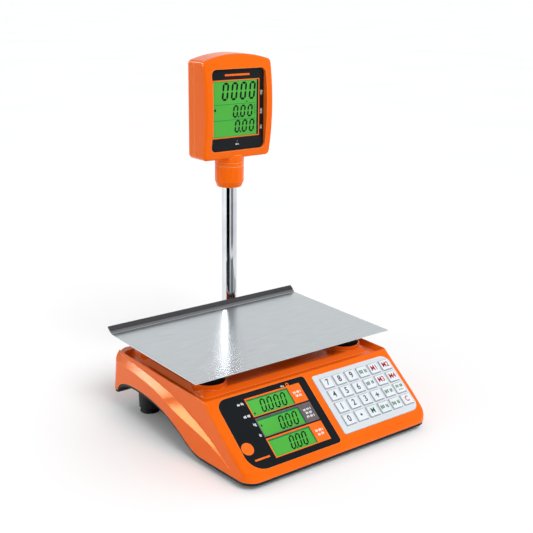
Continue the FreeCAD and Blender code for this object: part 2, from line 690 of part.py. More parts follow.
def screw(name, head_radius, head_height, shank_radius, shank_length, place, upward=True):
    """A pan-head screw with a cross recess, head down when upward."""
    head = cylinder(f"{name}_head", head_radius, head_height, (0, 0, 0))
    shank = cylinder(f"{name}_shank", shank_radius, f"{head_height} + {shank_length}", (0, 0, 0))
    reach, half_slot = head_radius * 0.6, 0.4
    slots = [box(f"{name}_slot_{n}", 2 * across, 2 * along, head_height * 0.5, (-across, -along, -0.01))
             for n, (across, along) in enumerate(((reach, half_slot), (half_slot, reach)), start=1)]
    solid = cut(name, fuse(f"{name}_solid", [head, shank]), fuse(f"{name}_cross", slots))
    turn = Rotation() if upward else Rotation(Vector(1, 0, 0), 180)
    solid.Placement = Placement(Vector(*place), turn)
    return solid


def cell_screws():
    """Screws that hold the carrier down on the cell's free end."""
    height = size("belly_bottom") + size("wall") + 2 * size("spacer_height") + size("cell_height")
    head_radius, head_height, shank_radius, shank_length = 3.8, 2.6, 2.1, 14.0
    top = height + size("carrier_sheet") + head_height
    screws = [screw(f"carrier_screw_{n}", head_radius, head_height, shank_radius, shank_length, (x, y, top),
                    upward=False)
              for n, (x, y) in enumerate(cell_screw_places(1), start=1)]
    return group("carrier_screws", screws)


# --- The pan ---------------------------------------------------------------------------------------


def pan_outline(thickness, lower):
    """The pan's section across its rear lip, as a closed wire at the pan's left edge."""
    x = -size("pan_width") / 2
    front, top = size("pan_front"), size("pan_top") - lower
    fold = front + size("pan_depth")
    back, up = size("lip_back"), size("lip_up")
    length = math.hypot(back, up)
    shift_y, shift_z = thickness * up / length, thickness * back / length
    turn = thickness * math.tan(math.atan2(up, back) / 2)
    points = [at(x, front, top), at(x, fold, top), at(x, fold + back, top + up),
              at(x, fold + back + shift_y, top + up - shift_z), at(x, fold + turn, top - thickness),
              at(x, front, top - thickness)]
    return Part.makePolygon(points + points[:1])


def pan():
    """The stainless pan: one bent sheet with four locating tabs beneath it."""
    sheet_solid = Part.Face(pan_outline(size("pan_sheet"), 0.0)).extrude(Vector(size("pan_width"), 0, 0))
    tabs = []
    for x, y in support_places():
        inner = math.copysign(abs(x) - size("pan_tab_inset"), x)
        tabs.append(Part.makeBox(size("pan_sheet"), size("pan_tab_length"), size("pan_tab_drop") + 0.4,
                                 at(inner - size("pan_sheet") / 2, y - size("pan_tab_length") / 2,
                                    size("pan_top") - size("pan_sheet") - size("pan_tab_drop"))))
    return feature("pan", sheet_solid.fuse(tabs).removeSplitter())


def pan_edge_guard():
    """A dark edging strip pressed over the top half of the pan's rear lip."""
    x = -size("pan_width") / 2
    back, up = size("lip_back"), size("lip_up")
    length = math.hypot(back, up)
    along, across = Vector(0, back / length, up / length), Vector(0, -up / length, back / length)
    tip = at(x, size("pan_front") + size("pan_depth") + back, size("pan_top") + up)
    wall, cover = size("guard_wall"), length * 0.55
    inner = 0.02
    low, high = -size("pan_sheet") - inner, inner
    reach = inner
    section = [(-cover, high), (reach, high), (reach, low), (-cover, low), (-cover, low - wall),
               (reach + wall, low - wall), (reach + wall, high + wall), (-cover, high + wall)]
    points = [tip + along * a + across * b for a, b in section]
    wire = Part.makePolygon(points + points[:1])
    return feature("pan_edge_guard", Part.Face(wire).extrude(Vector(size("pan_width"), 0, 0)))


# --- The console -----------------------------------------------------------------------------------


def panel_plate(name, alias):
    """A rounded plate, sunk in its recess on the console's face."""
    blank = box(f"{name}_blank", f"{alias}_right - {alias}_left", f"{alias}_bottom - {alias}_top",
                f"{alias}_sheet", (f"{alias}_left", f"-{alias}_bottom", f"{alias}_proud - {alias}_sheet"))
    return round_corners(name, blank, PANEL_CORNERS[alias])


def display_panel():
    """The dark panel over the three displays."""
    return onto_console(panel_plate("display_panel", "panel"))


def key_places():
    """Every key's column and row, with its middle on the console's face."""
    return [(column, row, size("key_first_x") + column * size("key_pitch_x"),
             -size("key_first_down") - row * size("key_pitch_down"))
            for row in range(KEY_ROWS) for column in range(KEY_COLUMNS)]


def keypad_plate():
    """The silver plate with a window round every key."""
    plate = panel_plate("keypad_plate_rounded", "plate")
    windows = [box(f"key_window_{row}_{column}", "key_width + 2 * key_gap", "key_length + 2 * key_gap",
                   "plate_sheet + 4",
                   (f"{x} - key_width / 2 - key_gap", f"{y} - key_length / 2 - key_gap",
                    "plate_proud - plate_sheet - 2"))
               for column, row, x, y in key_places()]
    return onto_console(cut("keypad_plate", plate, group("key_windows", windows)))


def rectangle(sketch, width, length):
    """A rectangle about the sketch's origin, its sides bound to the sheet."""
    half_x, half_y = 5.0, 4.0
    corners = [Vector(-half_x, -half_y, 0), Vector(half_x, -half_y, 0), Vector(half_x, half_y, 0),
               Vector(-half_x, half_y, 0)]
    for start, end in zip(corners, corners[1:] + corners[:1]):
        sketch.addGeometry(Part.LineSegment(start, end), False)
    for side in range(4):
        sketch.addConstraint(Sketcher.Constraint("Coincident", side, 2, (side + 1) % 4, 1))
    for side, kind in enumerate(("Horizontal", "Vertical", "Horizontal", "Vertical")):
        sketch.addConstraint(Sketcher.Constraint(kind, side))
    sketch.addConstraint(Sketcher.Constraint("Symmetric", 0, 1, 1, 2, -1, 1))
    for side, name, text in ((0, "width", width), (1, "length", length)):
        number = sketch.addConstraint(Sketcher.Constraint("Distance", side, 10.0 - 2.0 * side))
        sketch.renameConstraint(number, name)
        sketch.setExpression(f"Constraints.{name}", formula(text))


def body_sketch(body, name, lift):
    """A sketch on the body's own XY plane, lifted to a height."""
    plane = next(item for item in body.Origin.OriginFeatures if item.Role == "XY_Plane")
    sketch = body.newObject("Sketcher::SketchObject", name)
    sketch.AttachmentSupport = [(plane, "")]
    sketch.MapMode = "FlatFace"
    sketch.setExpression(".AttachmentOffset.Base.z", formula(lift))
    return sketch


def key(column, row, x, y):
    """One key: a drafted cap on a thin flange that stops it leaving the plate."""
    name = f"key_r{row + 1}_c{column + 1}"
    body = doc.addObject("PartDesign::Body", name)
    flange_top = "plate_proud - plate_sheet - 0.15"
    flange = body_sketch(body, f"{name}_flange_outline", f"{flange_top} - key_flange_sheet")
    rectangle(flange, "key_width + 2 * key_flange", "key_length + 2 * key_flange")
    base = body.newObject("PartDesign::Pad", f"{name}_flange")
    base.Profile = flange
    bind(base, Length="key_flange_sheet")
    cap = body_sketch(body, f"{name}_cap_outline", f"{flange_top} - 0.1")
    rectangle(cap, "key_width", "key_length")
    top = body.newObject("PartDesign::Pad", f"{name}_cap")
    top.Profile = cap
    bind(top, Length=f"key_proud - ({flange_top}) + 0.1", TaperAngle="-key_draft")
    doc.recompute()
    crown = max(vertex.Point.z for vertex in top.Shape.Vertexes)
    edges = [f"Edge{n}" for n, edge in enumerate(top.Shape.Edges, start=1)
             if min(vertex.Point.z for vertex in edge.Vertexes) > crown - 0.01]
    rounding = body.newObject("PartDesign::Fillet", f"{name}_rounding")
    rounding.Base = (top, edges)
    rounding.Radius = 0.7
    body.Tip = rounding
    body.Placement = console_place().multiply(Placement(Vector(x, y, 0), Rotation()))
    return body


def keypad_layers():
    """The rubber sheet that springs the keys back, and the board beneath it."""
    top = "plate_proud - plate_sheet - 0.15 - key_flange_sheet - key_travel - 0.35"
    left, right = "plate_left + side_ledge + 0.6", "plate_right - side_ledge - 0.6"
    down, up = "-plate_bottom + ledge + 0.8", "-plate_top - ledge - 0.8"
    rubber = box("keypad_rubber_sheet", f"{right} - ({left})", f"{up} - ({down})", "rubber_sheet",
                 (left, down, f"{top} - rubber_sheet"))
    board = console_board("keypad_board_sheet", "plate")
    return onto_console(group("keypad_rubber", [rubber])), onto_console(group("keypad_board", [board]))


def console_lcds():
    """Three glass displays, one over the other, behind the dark panel."""
    glasses = [box(f"console_lcd_{row + 1}", "lcd_right - lcd_left", "lcd_height", "lcd_depth",
                   ("lcd_left", f"-lcd_first_down - {row} * lcd_pitch - lcd_height",
                    "panel_proud - panel_sheet - 0.1 - lcd_depth"))
               for row in range(3)]
    return onto_console(group("console_lcds", glasses))


def console_board(name, alias):
    """A circuit board hung under the console's posts."""
    margin = "board_margin"
    corner = (f"{alias}_left - {margin}", "-board_bottom", "-wall - post_reach - board_sheet")
    return box(name, f"{alias}_right - {alias}_left + 2 * {margin}", "board_bottom - plate_top",
               "board_sheet", corner)


def display_board():
    return onto_console(group("display_board", [console_board("display_board_sheet", "panel")]))


# --- Power -----------------------------------------------------------------------------------------


def battery():
    """A sealed battery with its two terminals."""
    low = "seam_height + 0.4"
    front = "battery_rear - battery_width"
    case = box("battery_case", "battery_length", "battery_width", "battery_height",
               ("-battery_length / 2", front, low))
    tabs = [box(f"battery_tab_{name}", 5, 6, 4, (x, f"{front} + 6", f"{low} + battery_height"))
            for name, x in (("minus", -30), ("plus", 25))]
    return fuse("battery", [case] + tabs)


def main_board():
    """The circuit board beside the load cell, with a processor, a relay block and a socket."""
    low = "belly_bottom + wall + 4"
    front = "belly_front + 8"
    board = box("main_board_sheet", 90, 50, "board_sheet", (-45, front, low))
    kinds = (("chip", (14, 14, 1.8), (-8, 18)),
             ("relay", (16, 12, 9), (24, 6)),
             ("socket", (12, 6, 7), (-40, 38)))
    chips = [box(f"main_board_{name}", *sides, (x, f"{front} + {y}", f"{low} + board_sheet"))
             for name, sides, (x, y) in kinds]
    posts = [cylinder(f"main_board_post_{n}", 2.5, 4, (x, f"{front} + {y}", "belly_bottom + wall"))
             for n, (x, y) in enumerate(((-40, 5), (40, 5), (-40, 45), (40, 45)), start=1)]
    return fuse("main_board", [board] + chips + posts)


def switch_body():
    """The rocker switch's case, snapped into the rear wall with its bezel outside."""
    rear = "body_rear"
    case = box("switch_case", "switch_width", 16, "switch_height",
               ("switch_x - switch_width / 2", f"{rear} - 15", "switch_z - switch_height / 2"))
    bezel = box("switch_bezel", "switch_width + 4", 1.6, "switch_height + 4",
                ("switch_x - switch_width / 2 - 2", rear, "switch_z - switch_height / 2 - 2"))
    pocket = box("switch_pocket", "switch_width - 3", 9, "switch_height - 3",
                 ("switch_x - switch_width / 2 + 1.5", f"{rear} - 5.5", "switch_z - switch_height / 2 + 1.5"))
    return cut("switch_body", fuse("switch_solid", [case, bezel]), pocket)


def switch_rocker():
    """The rocker: a shallow double wedge that turns about its middle."""
    x, z, rear = size("switch_x"), size("switch_z"), size("body_rear")
    half = size("switch_width") / 2 - 1.5 - 0.5
    tall = size("switch_height") / 2 - 1.5 - 0.5
    outline = [(-half, 1.4), (0, 0.2), (half, 1.4), (half - 1.4, -3.2), (-half + 1.4, -3.2)]
    points = [Vector(across, out, -tall) for across, out in outline]
    solid = Part.Face(Part.makePolygon(points + points[:1])).extrude(Vector(0, 0, 2 * tall))
    rocker = feature("switch_rocker", solid)
    rocker.Placement = Placement(Vector(x, rear + 1.6, z), Rotation(Vector(0, 0, 1), size("rocker_tilt")))
    return rocker


def charging_jack():
    """The charging jack: a flanged barrel with a blind socket."""
    x, z, rear = size("jack_x"), size("jack_z"), size("body_rear")
    radius, back, flange_sheet = size("jack_body"), Vector(0, 1, 0), 1.5
    barrel = Part.makeCylinder(radius, 6.0, at(x, rear - 6.0, z), back)
    flange = Part.makeCylinder(radius + 1.8, flange_sheet, at(x, rear, z), back)
    block = Part.makeBox(14.0, 8.0, 13.0, at(x - 7.0, rear - 10.5, z - 6.5))
    mouth = rear + flange_sheet - size("jack_depth")
    socket = Part.makeCylinder(size("jack_radius"), size("jack_depth") + 1.0, at(x, mouth, z), back)
    solid = barrel.fuse([flange, block]).cut(socket)
    return feature("charging_jack", solid.removeSplitter())


# --- The pole and its bracket ------------------------------------------------------------------------


def pole_bracket():
    """An arm from the belly's rear wall to a round socket, hollow for the cable."""
    x, y = size("pole_x"), size("pole_y")
    half, low, top = size("arm_half"), size("belly_bottom"), size("arm_top")
    rear, radius = size("belly_rear"), size("socket_radius")
    arm = Part.makeBox(2 * half, y - rear, top - low, at(x - half, rear, low))
    flange = Part.makeBox(2 * size("flange_half"), size("flange_sheet"), top - low - 1.0,
                          at(x - size("flange_half"), rear, low + 0.5))
    socket = Part.makeCone(radius + 2.0, radius, size("socket_top") - low, at(x, y, low))
    solid = arm.fuse([flange, socket])
    duct_half = size("cable_radius") + 1.2
    height = size("cable_height")
    duct = Part.makeBox(2 * duct_half, y + 4.0 - rear, 2 * duct_half,
                        at(x - duct_half, rear, height - duct_half))
    bend = size("cable_bend") + 3.0
    rise = Part.makeBox(2 * duct_half, bend + 4.0, size("pole_bottom") - height + duct_half,
                        at(x - duct_half, y - bend, height - duct_half))
    bore = Part.makeCylinder(size("pole_radius"), 200.0, at(x, y, size("pole_bottom")))
    solid = solid.cut([duct, rise, bore])
    solid = solid.cut(bracket_screw_holes())
    return feature("pole_bracket", solid.removeSplitter())


def bracket_screw_holes():
    """A clearance hole for each screw through the bracket's flange."""
    return [Part.makeCylinder(size("bracket_screw_hole"), 30.0, at(x, y - 10.0, z), Vector(0, 1, 0))
            for x, y, z in bracket_screw_places()]


def pole():
    """The chromed tube."""
    outside = cylinder("pole_outside", "pole_radius", "pole_top - pole_bottom",
                       ("pole_x", "pole_y", "pole_bottom"))
    inside = cylinder("pole_inside", "pole_radius - pole_wall", "pole_top - pole_bottom + 2",
                      ("pole_x", "pole_y", "pole_bottom - 1"))
    return cut("pole", outside, inside)


def pole_cable():
    """The cable from the belly to the head: a straight run, one bend and the rise inside the pole."""
    x, y = size("pole_x"), size("pole_y")
    low, bend = size("cable_height"), size("cable_bend")
    start = at(x, size("cable_start"), low)
    turn_in, turn_out = at(x, y - bend, low), at(x, y, low + bend)
    middle = at(x, y - bend + bend * math.sin(math.pi / 4), low + bend - bend * math.cos(math.pi / 4))
    path = Part.Wire([line(start, turn_in), Part.Arc(turn_in, middle, turn_out).toShape(),
                      line(turn_out, at(x, y, size("cable_top")))])
    ring = Part.Wire(Part.makeCircle(size("cable_radius"), start, Vector(0, 1, 0)))
    tube = path.makePipeShell([ring], True, False)
    ratio = tube.Volume / (math.pi * size("cable_radius") ** 2 * path.Length)
    print(f"pole cable: length {path.Length:.1f} mm, bend radius {bend:.1f} mm, volume ratio {ratio:.4f}")
    return feature("pole_cable", tube)


# --- The display head ----------------------------------------------------------------------------------


def head_blank(inset, front, rear):
    """The head's outline seen from the front, under a crowned top, between two depths."""
    x, half = size("pole_x"), size("head_half") - inset
    low, corner = size("head_bottom") + inset, size("head_corner") - inset
    crown = size("head_crown") - inset
    left, right = x - half, x + half
    foot_left, foot_right = at(left, front, low), at(right, front, low)
    top_left, top_right = at(left, front, corner), at(right, front, corner)
    edges = [line(foot_left, foot_right), line(foot_right, top_right),
             Part.Arc(top_right, at(x, front, crown), top_left).toShape(), line(top_left, foot_left)]
    return Part.Face(Part.Wire(edges)).extrude(Vector(0, rear - front, 0))


def head_barrel(inset, rear):
    """The head's side view: the front swells forward at mid height."""
    half = size("head_half") + 10.0
    x = size("pole_x") - half
    front = size("head_front") + inset
    bulge = front - size("head_bulge")
    low, high = size("head_bottom") - 1.0, size("head_crown") + 1.0
    edges = [Part.Arc(at(x, front, low), at(x, bulge, (low + high) / 2), at(x, front, high)).toShape(),
             line(at(x, front, high), at(x, rear, high)), line(at(x, rear, high), at(x, rear, low)),
             line(at(x, rear, low), at(x, front, low))]
    return Part.Face(Part.Wire(edges)).extrude(Vector(2 * half, 0, 0))


def head_solid(inset):
    """The closed form of the head, set in by inset."""
    rear = size("head_rear") - inset
    blank = head_blank(inset, size("head_front") - 20.0, rear)
    blank = blank.common(head_barrel(inset, rear))
    corners = [edge for edge in blank.Edges
               if edge.BoundBox.YLength > 20.0 and max(edge.BoundBox.XLength, edge.BoundBox.ZLength) < 1.0]
    blank = blank.makeFillet(size("head_round") - inset, corners)
    rim = [edge for edge in blank.Edges if edge.BoundBox.YMax < size("head_front") + inset + 0.01]
    blank = blank.makeFillet(size("head_front_round") - inset, rim)
    around = [edge for edge in blank.Edges if edge.BoundBox.YMin > rear - 0.01]
    return blank.makeFillet(size("head_rear_round") - inset, around)


def upright_block(half, low, high, front, rear, radius):
    """A block about the pole's axis, its corners rounded as seen from the front."""
    block = Part.makeBox(2 * half, rear - front, high - low, at(size("pole_x") - half, front, low))
    return block.makeFillet(radius, [edge for edge in block.Edges if edge.BoundBox.YLength > 1.0])


def lens_frame():
    """The thick frame behind the front face that carries the lens."""
    rim, half = size("lens_rim"), size("lens_half") + size("lens_rim")
    low, high = size("lens_bottom") - rim, size("lens_top") + rim
    front, rear = size("head_front") - 21.0, size("head_front") + size("lens_sheet") + size("head_wall")
    return Part.makeBox(2 * half, rear - front, high - low, at(size("pole_x") - half, front, low))


def lens_openings():
    """The lens's recess in the front face and the window behind it."""
    half, low, top = size("lens_half"), size("lens_bottom"), size("lens_top")
    gap, ledge, corner = size("recess_gap"), size("lens_ledge"), size("lens_round")
    seat = size("head_front") + size("lens_sheet")
    recess = upright_block(half + gap, low - gap, top + gap, seat - 40.0, seat, corner + gap)
    window = upright_block(half - ledge, low + ledge, top - ledge, seat - 50.0, seat + 10.0, corner - ledge)
    return [recess, window]


def pole_socket():
    """The boss under the head and the collar inside it, with the bore for the pole."""
    x, y, neck = size("pole_x"), size("pole_y"), size("neck_top")
    boss = Part.makeCylinder(size("neck_radius"), size("head_bottom") - neck + 4.0, at(x, y, neck))
    collar = Part.makeCylinder(size("pole_radius") + 3.5, 16.0, at(x, y, size("head_bottom") + 1.0))
    bore = Part.makeCylinder(size("pole_radius") + size("running_gap"), 60.0, at(x, y, neck - 10.0))
    return [boss, collar], bore


def half_space(front, rear):
    """A block that takes in everything of the head between two depths."""
    reach = 400.0
    return Part.makeBox(reach, rear - front, reach, at(size("pole_x") - reach / 2, front, 200.0))


def head_covers():
    """The head's front and rear shells, which meet on a flat seam."""
    seam, rear = size("head_seam"), size("head_rear")
    seat = size("head_front") + size("lens_sheet")
    shell = head_solid(0.0).cut(head_solid(size("head_wall")))
    shell = shell.fuse(lens_frame().common(head_solid(0.0)))
    solids, bore = pole_socket()
    shell = shell.fuse(solids).cut(lens_openings() + [bore])
    front_cover = shell.common(half_space(seam - 64.0, seam))
    rear_cover = shell.common(half_space(seam, seam + 100.0))
    back, radius = Vector(0, 1, 0), size("head_post_radius")
    for x, z in head_screw_places():
        post = Part.makeCylinder(radius, rear - 1.0 - seam, at(x, seam, z), back)
        mate = Part.makeCylinder(radius, seam - seat - 1.0, at(x, seat + 1.0, z), back)
        hole = Part.makeCylinder(size("head_screw_hole"), 60.0, at(x, seam - 12.0, z), back)
        sink = Part.makeCylinder(size("head_screw_sink"), 10.0, at(x, rear - 3.0, z), back)
        rear_cover = rear_cover.fuse(post).cut([hole, sink])
        front_cover = front_cover.fuse(mate).cut(hole)
    return (feature("head_front_cover", front_cover.removeSplitter()),
            feature("head_rear_cover", rear_cover.removeSplitter()))


def head_screw_places():
    """The four screws that close the head from behind."""
    heights = (size("head_bottom") + 12.0, size("head_corner") - 13.0)
    return [(size("pole_x") + side * size("head_screw_x"), z) for side in MIRROR for z in heights]


def head_screws():
    """The four screws, driven in from behind."""
    screws = []
    for number, (x, z) in enumerate(head_screw_places(), start=1):
        one = screw(f"head_screw_{number}", 2.9, 2.0, 1.5, 20.0, (0, 0, 0))
        one.Placement = Placement(Vector(x, size("head_rear") - 1.0, z), Rotation(Vector(1, 0, 0), 90))
        screws.append(one)
    return group("head_screws", screws)


def upright_plate(name, left, right, bottom, top, front, depth):
    """A plate standing up in the head, given about the pole's axis."""
    return box(name, f"({right}) - ({left})", depth, f"({top}) - ({bottom})",
               (f"pole_x + ({left})", front, bottom))


def head_lens():
    """The head's dark window, sunk in its recess."""
    blank = upright_plate("head_lens_blank", "-lens_half", "lens_half", "lens_bottom", "lens_top",
                          "head_front", "lens_sheet")
    doc.recompute()
    thing = doc.addObject("Part::Fillet", "head_lens")
    thing.Base = blank
    rounds = []
    for number, edge in enumerate(blank.Shape.Edges, start=1):
        if edge.BoundBox.YLength > 1.0:
            rounds.append((number, size("lens_round"), size("lens_round")))
    thing.Edges = rounds
    return thing


def neck_collar():
    """The round collar under the head, tapered at its foot, with a groove under its top."""
    place = ("pole_x", "pole_y", "neck_bottom")
    foot_part = cone("neck_foot", "neck_foot_radius", "neck_radius", "neck_taper", place)
    drum = cylinder("neck_drum", "neck_radius", "neck_top - neck_bottom - neck_taper - 0.1",
                    ("pole_x", "pole_y", "neck_bottom + neck_taper"))
    facets = doc.addObject("Part::Prism", "neck_facets")
    facets.Polygon = 16
    bind(facets, Circumradius="neck_radius * 1.006", Height="neck_top - neck_bottom - 0.1", place=place)
    grip = doc.addObject("Part::MultiCommon", "neck_grip")
    grip.Shapes = [fuse("neck_solid", [foot_part, drum]), facets]
    bore = cylinder("neck_bore", "pole_radius + running_gap", 60, ("pole_x", "pole_y", "neck_bottom - 5"))
    groove = cut("neck_groove_ring",
                 cylinder("neck_groove_outside", "neck_radius + 2", "neck_groove",
                          ("pole_x", "pole_y", "neck_top - 6")),
                 cylinder("neck_groove_inside", "neck_radius - 0.8", "neck_groove + 2",
                          ("pole_x", "pole_y", "neck_top - 7")))
    return cut("neck_collar", grip, group("neck_tools", [bore, groove]))


def bracket_screw_places():
    """The two screws through the bracket's flange into the belly's rear wall."""
    return [(size("pole_x") + side * size("bracket_screw_x"), size("belly_rear"), size("cable_height"))
            for side in MIRROR]


def base_screws():
    """The four screws under the base tray and the two that hold the pole's bracket."""
    screws = []
    for number, (x, y, z) in enumerate(housing_screw_places(), start=1):
        screws.append(screw(f"base_screw_{number}", 3.2, 2.0, 1.5, 16.0, (x, y, z - 2.2)))
    for number, (x, y, z) in enumerate(bracket_screw_places(), start=5):
        one = screw(f"base_screw_{number}", 3.8, 2.4, 2.0, 9.0, (0, 0, 0))
        one.Placement = Placement(Vector(x, y + size("flange_sheet") + 2.4, z), Rotation(Vector(1, 0, 0), 90))
        screws.append(one)
    return group("base_screws", screws)


# --- The assembly --------------------------------------------------------------------------------------


def build():
    keep(upper_housing(), "upper_housing")
    keep(lower_housing(), "lower_housing")
    keep(battery_door(), "battery_door")
    for name, (x, y) in zip(("front_left", "front_right", "rear_left", "rear_right"), foot_places()):
        keep(foot(f"foot_{name}", x, y), f"foot_{name}")
    keep(support_cups(), "support_cups")
    keep(tray_carrier(), "tray_carrier")
    keep(load_cell(), "load_cell")
    keep(carrier_spacer(), "carrier_spacer")
    keep(cell_screws(), "carrier_screws")
    keep(pan(), "pan")
    keep(pan_edge_guard(), "pan_edge_guard")
    keep(display_panel(), "display_panel")
    keep(keypad_plate(), "keypad_plate")
    for column, row, x, y in key_places():
        keep(key(column, row, x, y), f"key_r{row + 1}_c{column + 1}")
    rubber, board = keypad_layers()
    keep(rubber, "keypad_rubber")
    keep(board, "keypad_board")
    keep(console_lcds(), "console_lcds")
    keep(display_board(), "display_board")
    keep(battery(), "battery")
    keep(main_board(), "main_board")
    keep(switch_body(), "switch_body")
    keep(switch_rocker(), "switch_rocker")
    keep(charging_jack(), "charging_jack")
    keep(pole_bracket(), "pole_bracket")
    keep(pole(), "pole")
    keep(pole_cable(), "pole_cable")
    for cover in head_covers():
        keep(cover, cover.Name)
    keep(head_screws(), "head_screws")
    keep(base_screws(), "base_screws")
    keep(head_lens(), "head_lens")
    keep(upright_plate("head_lcd", "glass_left", "glass_right", "glass_bottom", "glass_top",
                       "head_front + lens_sheet + 0.1", "glass_depth"), "head_lcd")
    keep(upright_plate("head_board", "-lens_half + 7", "lens_half - 7", "lens_bottom + 8", "lens_top - 10",
                       "head_front + lens_sheet + 4.5", "board_sheet"), "head_board")
    keep(neck_collar(), "neck_collar")


def check():
    """Stop if anything in the document failed or any sub-part has no sound shape."""
    doc.recompute()
    for thing in doc.Objects:
        if {"Invalid", "Error"} & set(thing.State):
            raise RuntimeError(f"{thing.Name} failed: {thing.State}")
    for thing in parts:
        if thing.Shape.isNull() or not thing.Shape.isValid() or not thing.Shape.Solids:
            raise RuntimeError(f"{thing.Label} has no sound shape")


build()
check()
os.makedirs("parts", exist_ok=True)
for thing in parts:
    thing.Shape.exportStep(f"parts/{thing.Label}.step")
    bounds = thing.Shape.BoundBox
    print(f"{thing.Label:20s} {len(thing.Shape.Solids):2d} {thing.Shape.Volume / 1000:9.2f} cm3 "
          f"x {bounds.XMin:7.1f} {bounds.XMax:7.1f} y {bounds.YMin:7.1f} {bounds.YMax:7.1f} "
          f"z {bounds.ZMin:7.1f} {bounds.ZMax:7.1f}")
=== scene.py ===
"""Looks for the retail price scale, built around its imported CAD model. Metres, +Z up."""
import json
import math
import random

import bmesh
import bpy
from mathutils import Matrix, Vector


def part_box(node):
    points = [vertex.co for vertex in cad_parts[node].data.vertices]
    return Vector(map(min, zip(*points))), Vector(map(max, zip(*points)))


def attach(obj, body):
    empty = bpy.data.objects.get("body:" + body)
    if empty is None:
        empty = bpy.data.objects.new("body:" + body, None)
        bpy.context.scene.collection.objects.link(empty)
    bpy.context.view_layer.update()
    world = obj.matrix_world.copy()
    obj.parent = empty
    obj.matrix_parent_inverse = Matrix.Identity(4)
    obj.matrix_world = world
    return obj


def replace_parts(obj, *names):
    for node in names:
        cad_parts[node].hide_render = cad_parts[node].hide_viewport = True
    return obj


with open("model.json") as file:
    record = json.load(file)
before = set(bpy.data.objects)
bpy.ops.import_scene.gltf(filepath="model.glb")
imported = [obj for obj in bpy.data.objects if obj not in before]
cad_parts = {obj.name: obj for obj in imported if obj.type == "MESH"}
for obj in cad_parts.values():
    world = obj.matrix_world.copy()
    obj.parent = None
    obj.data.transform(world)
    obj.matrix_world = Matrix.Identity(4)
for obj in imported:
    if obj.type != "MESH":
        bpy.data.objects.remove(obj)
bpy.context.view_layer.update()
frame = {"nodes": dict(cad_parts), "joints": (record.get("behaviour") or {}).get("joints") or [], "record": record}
NODES = frame["nodes"]
MM = 0.001
KEY_ROWS, KEY_COLUMNS = 4, 6
PAN_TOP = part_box("support_cups")[1].z + 0.0012


# --- Node materials -------------------------------------------------------------------------------


def rgb(text):
    """A linear colour from a hexadecimal one."""
    values = [int(text[n:n + 2], 16) / 255 for n in (0, 2, 4)]
    return tuple(v / 12.92 if v <= 0.04045 else ((v + 0.055) / 1.055) ** 2.4 for v in values) + (1.0,)


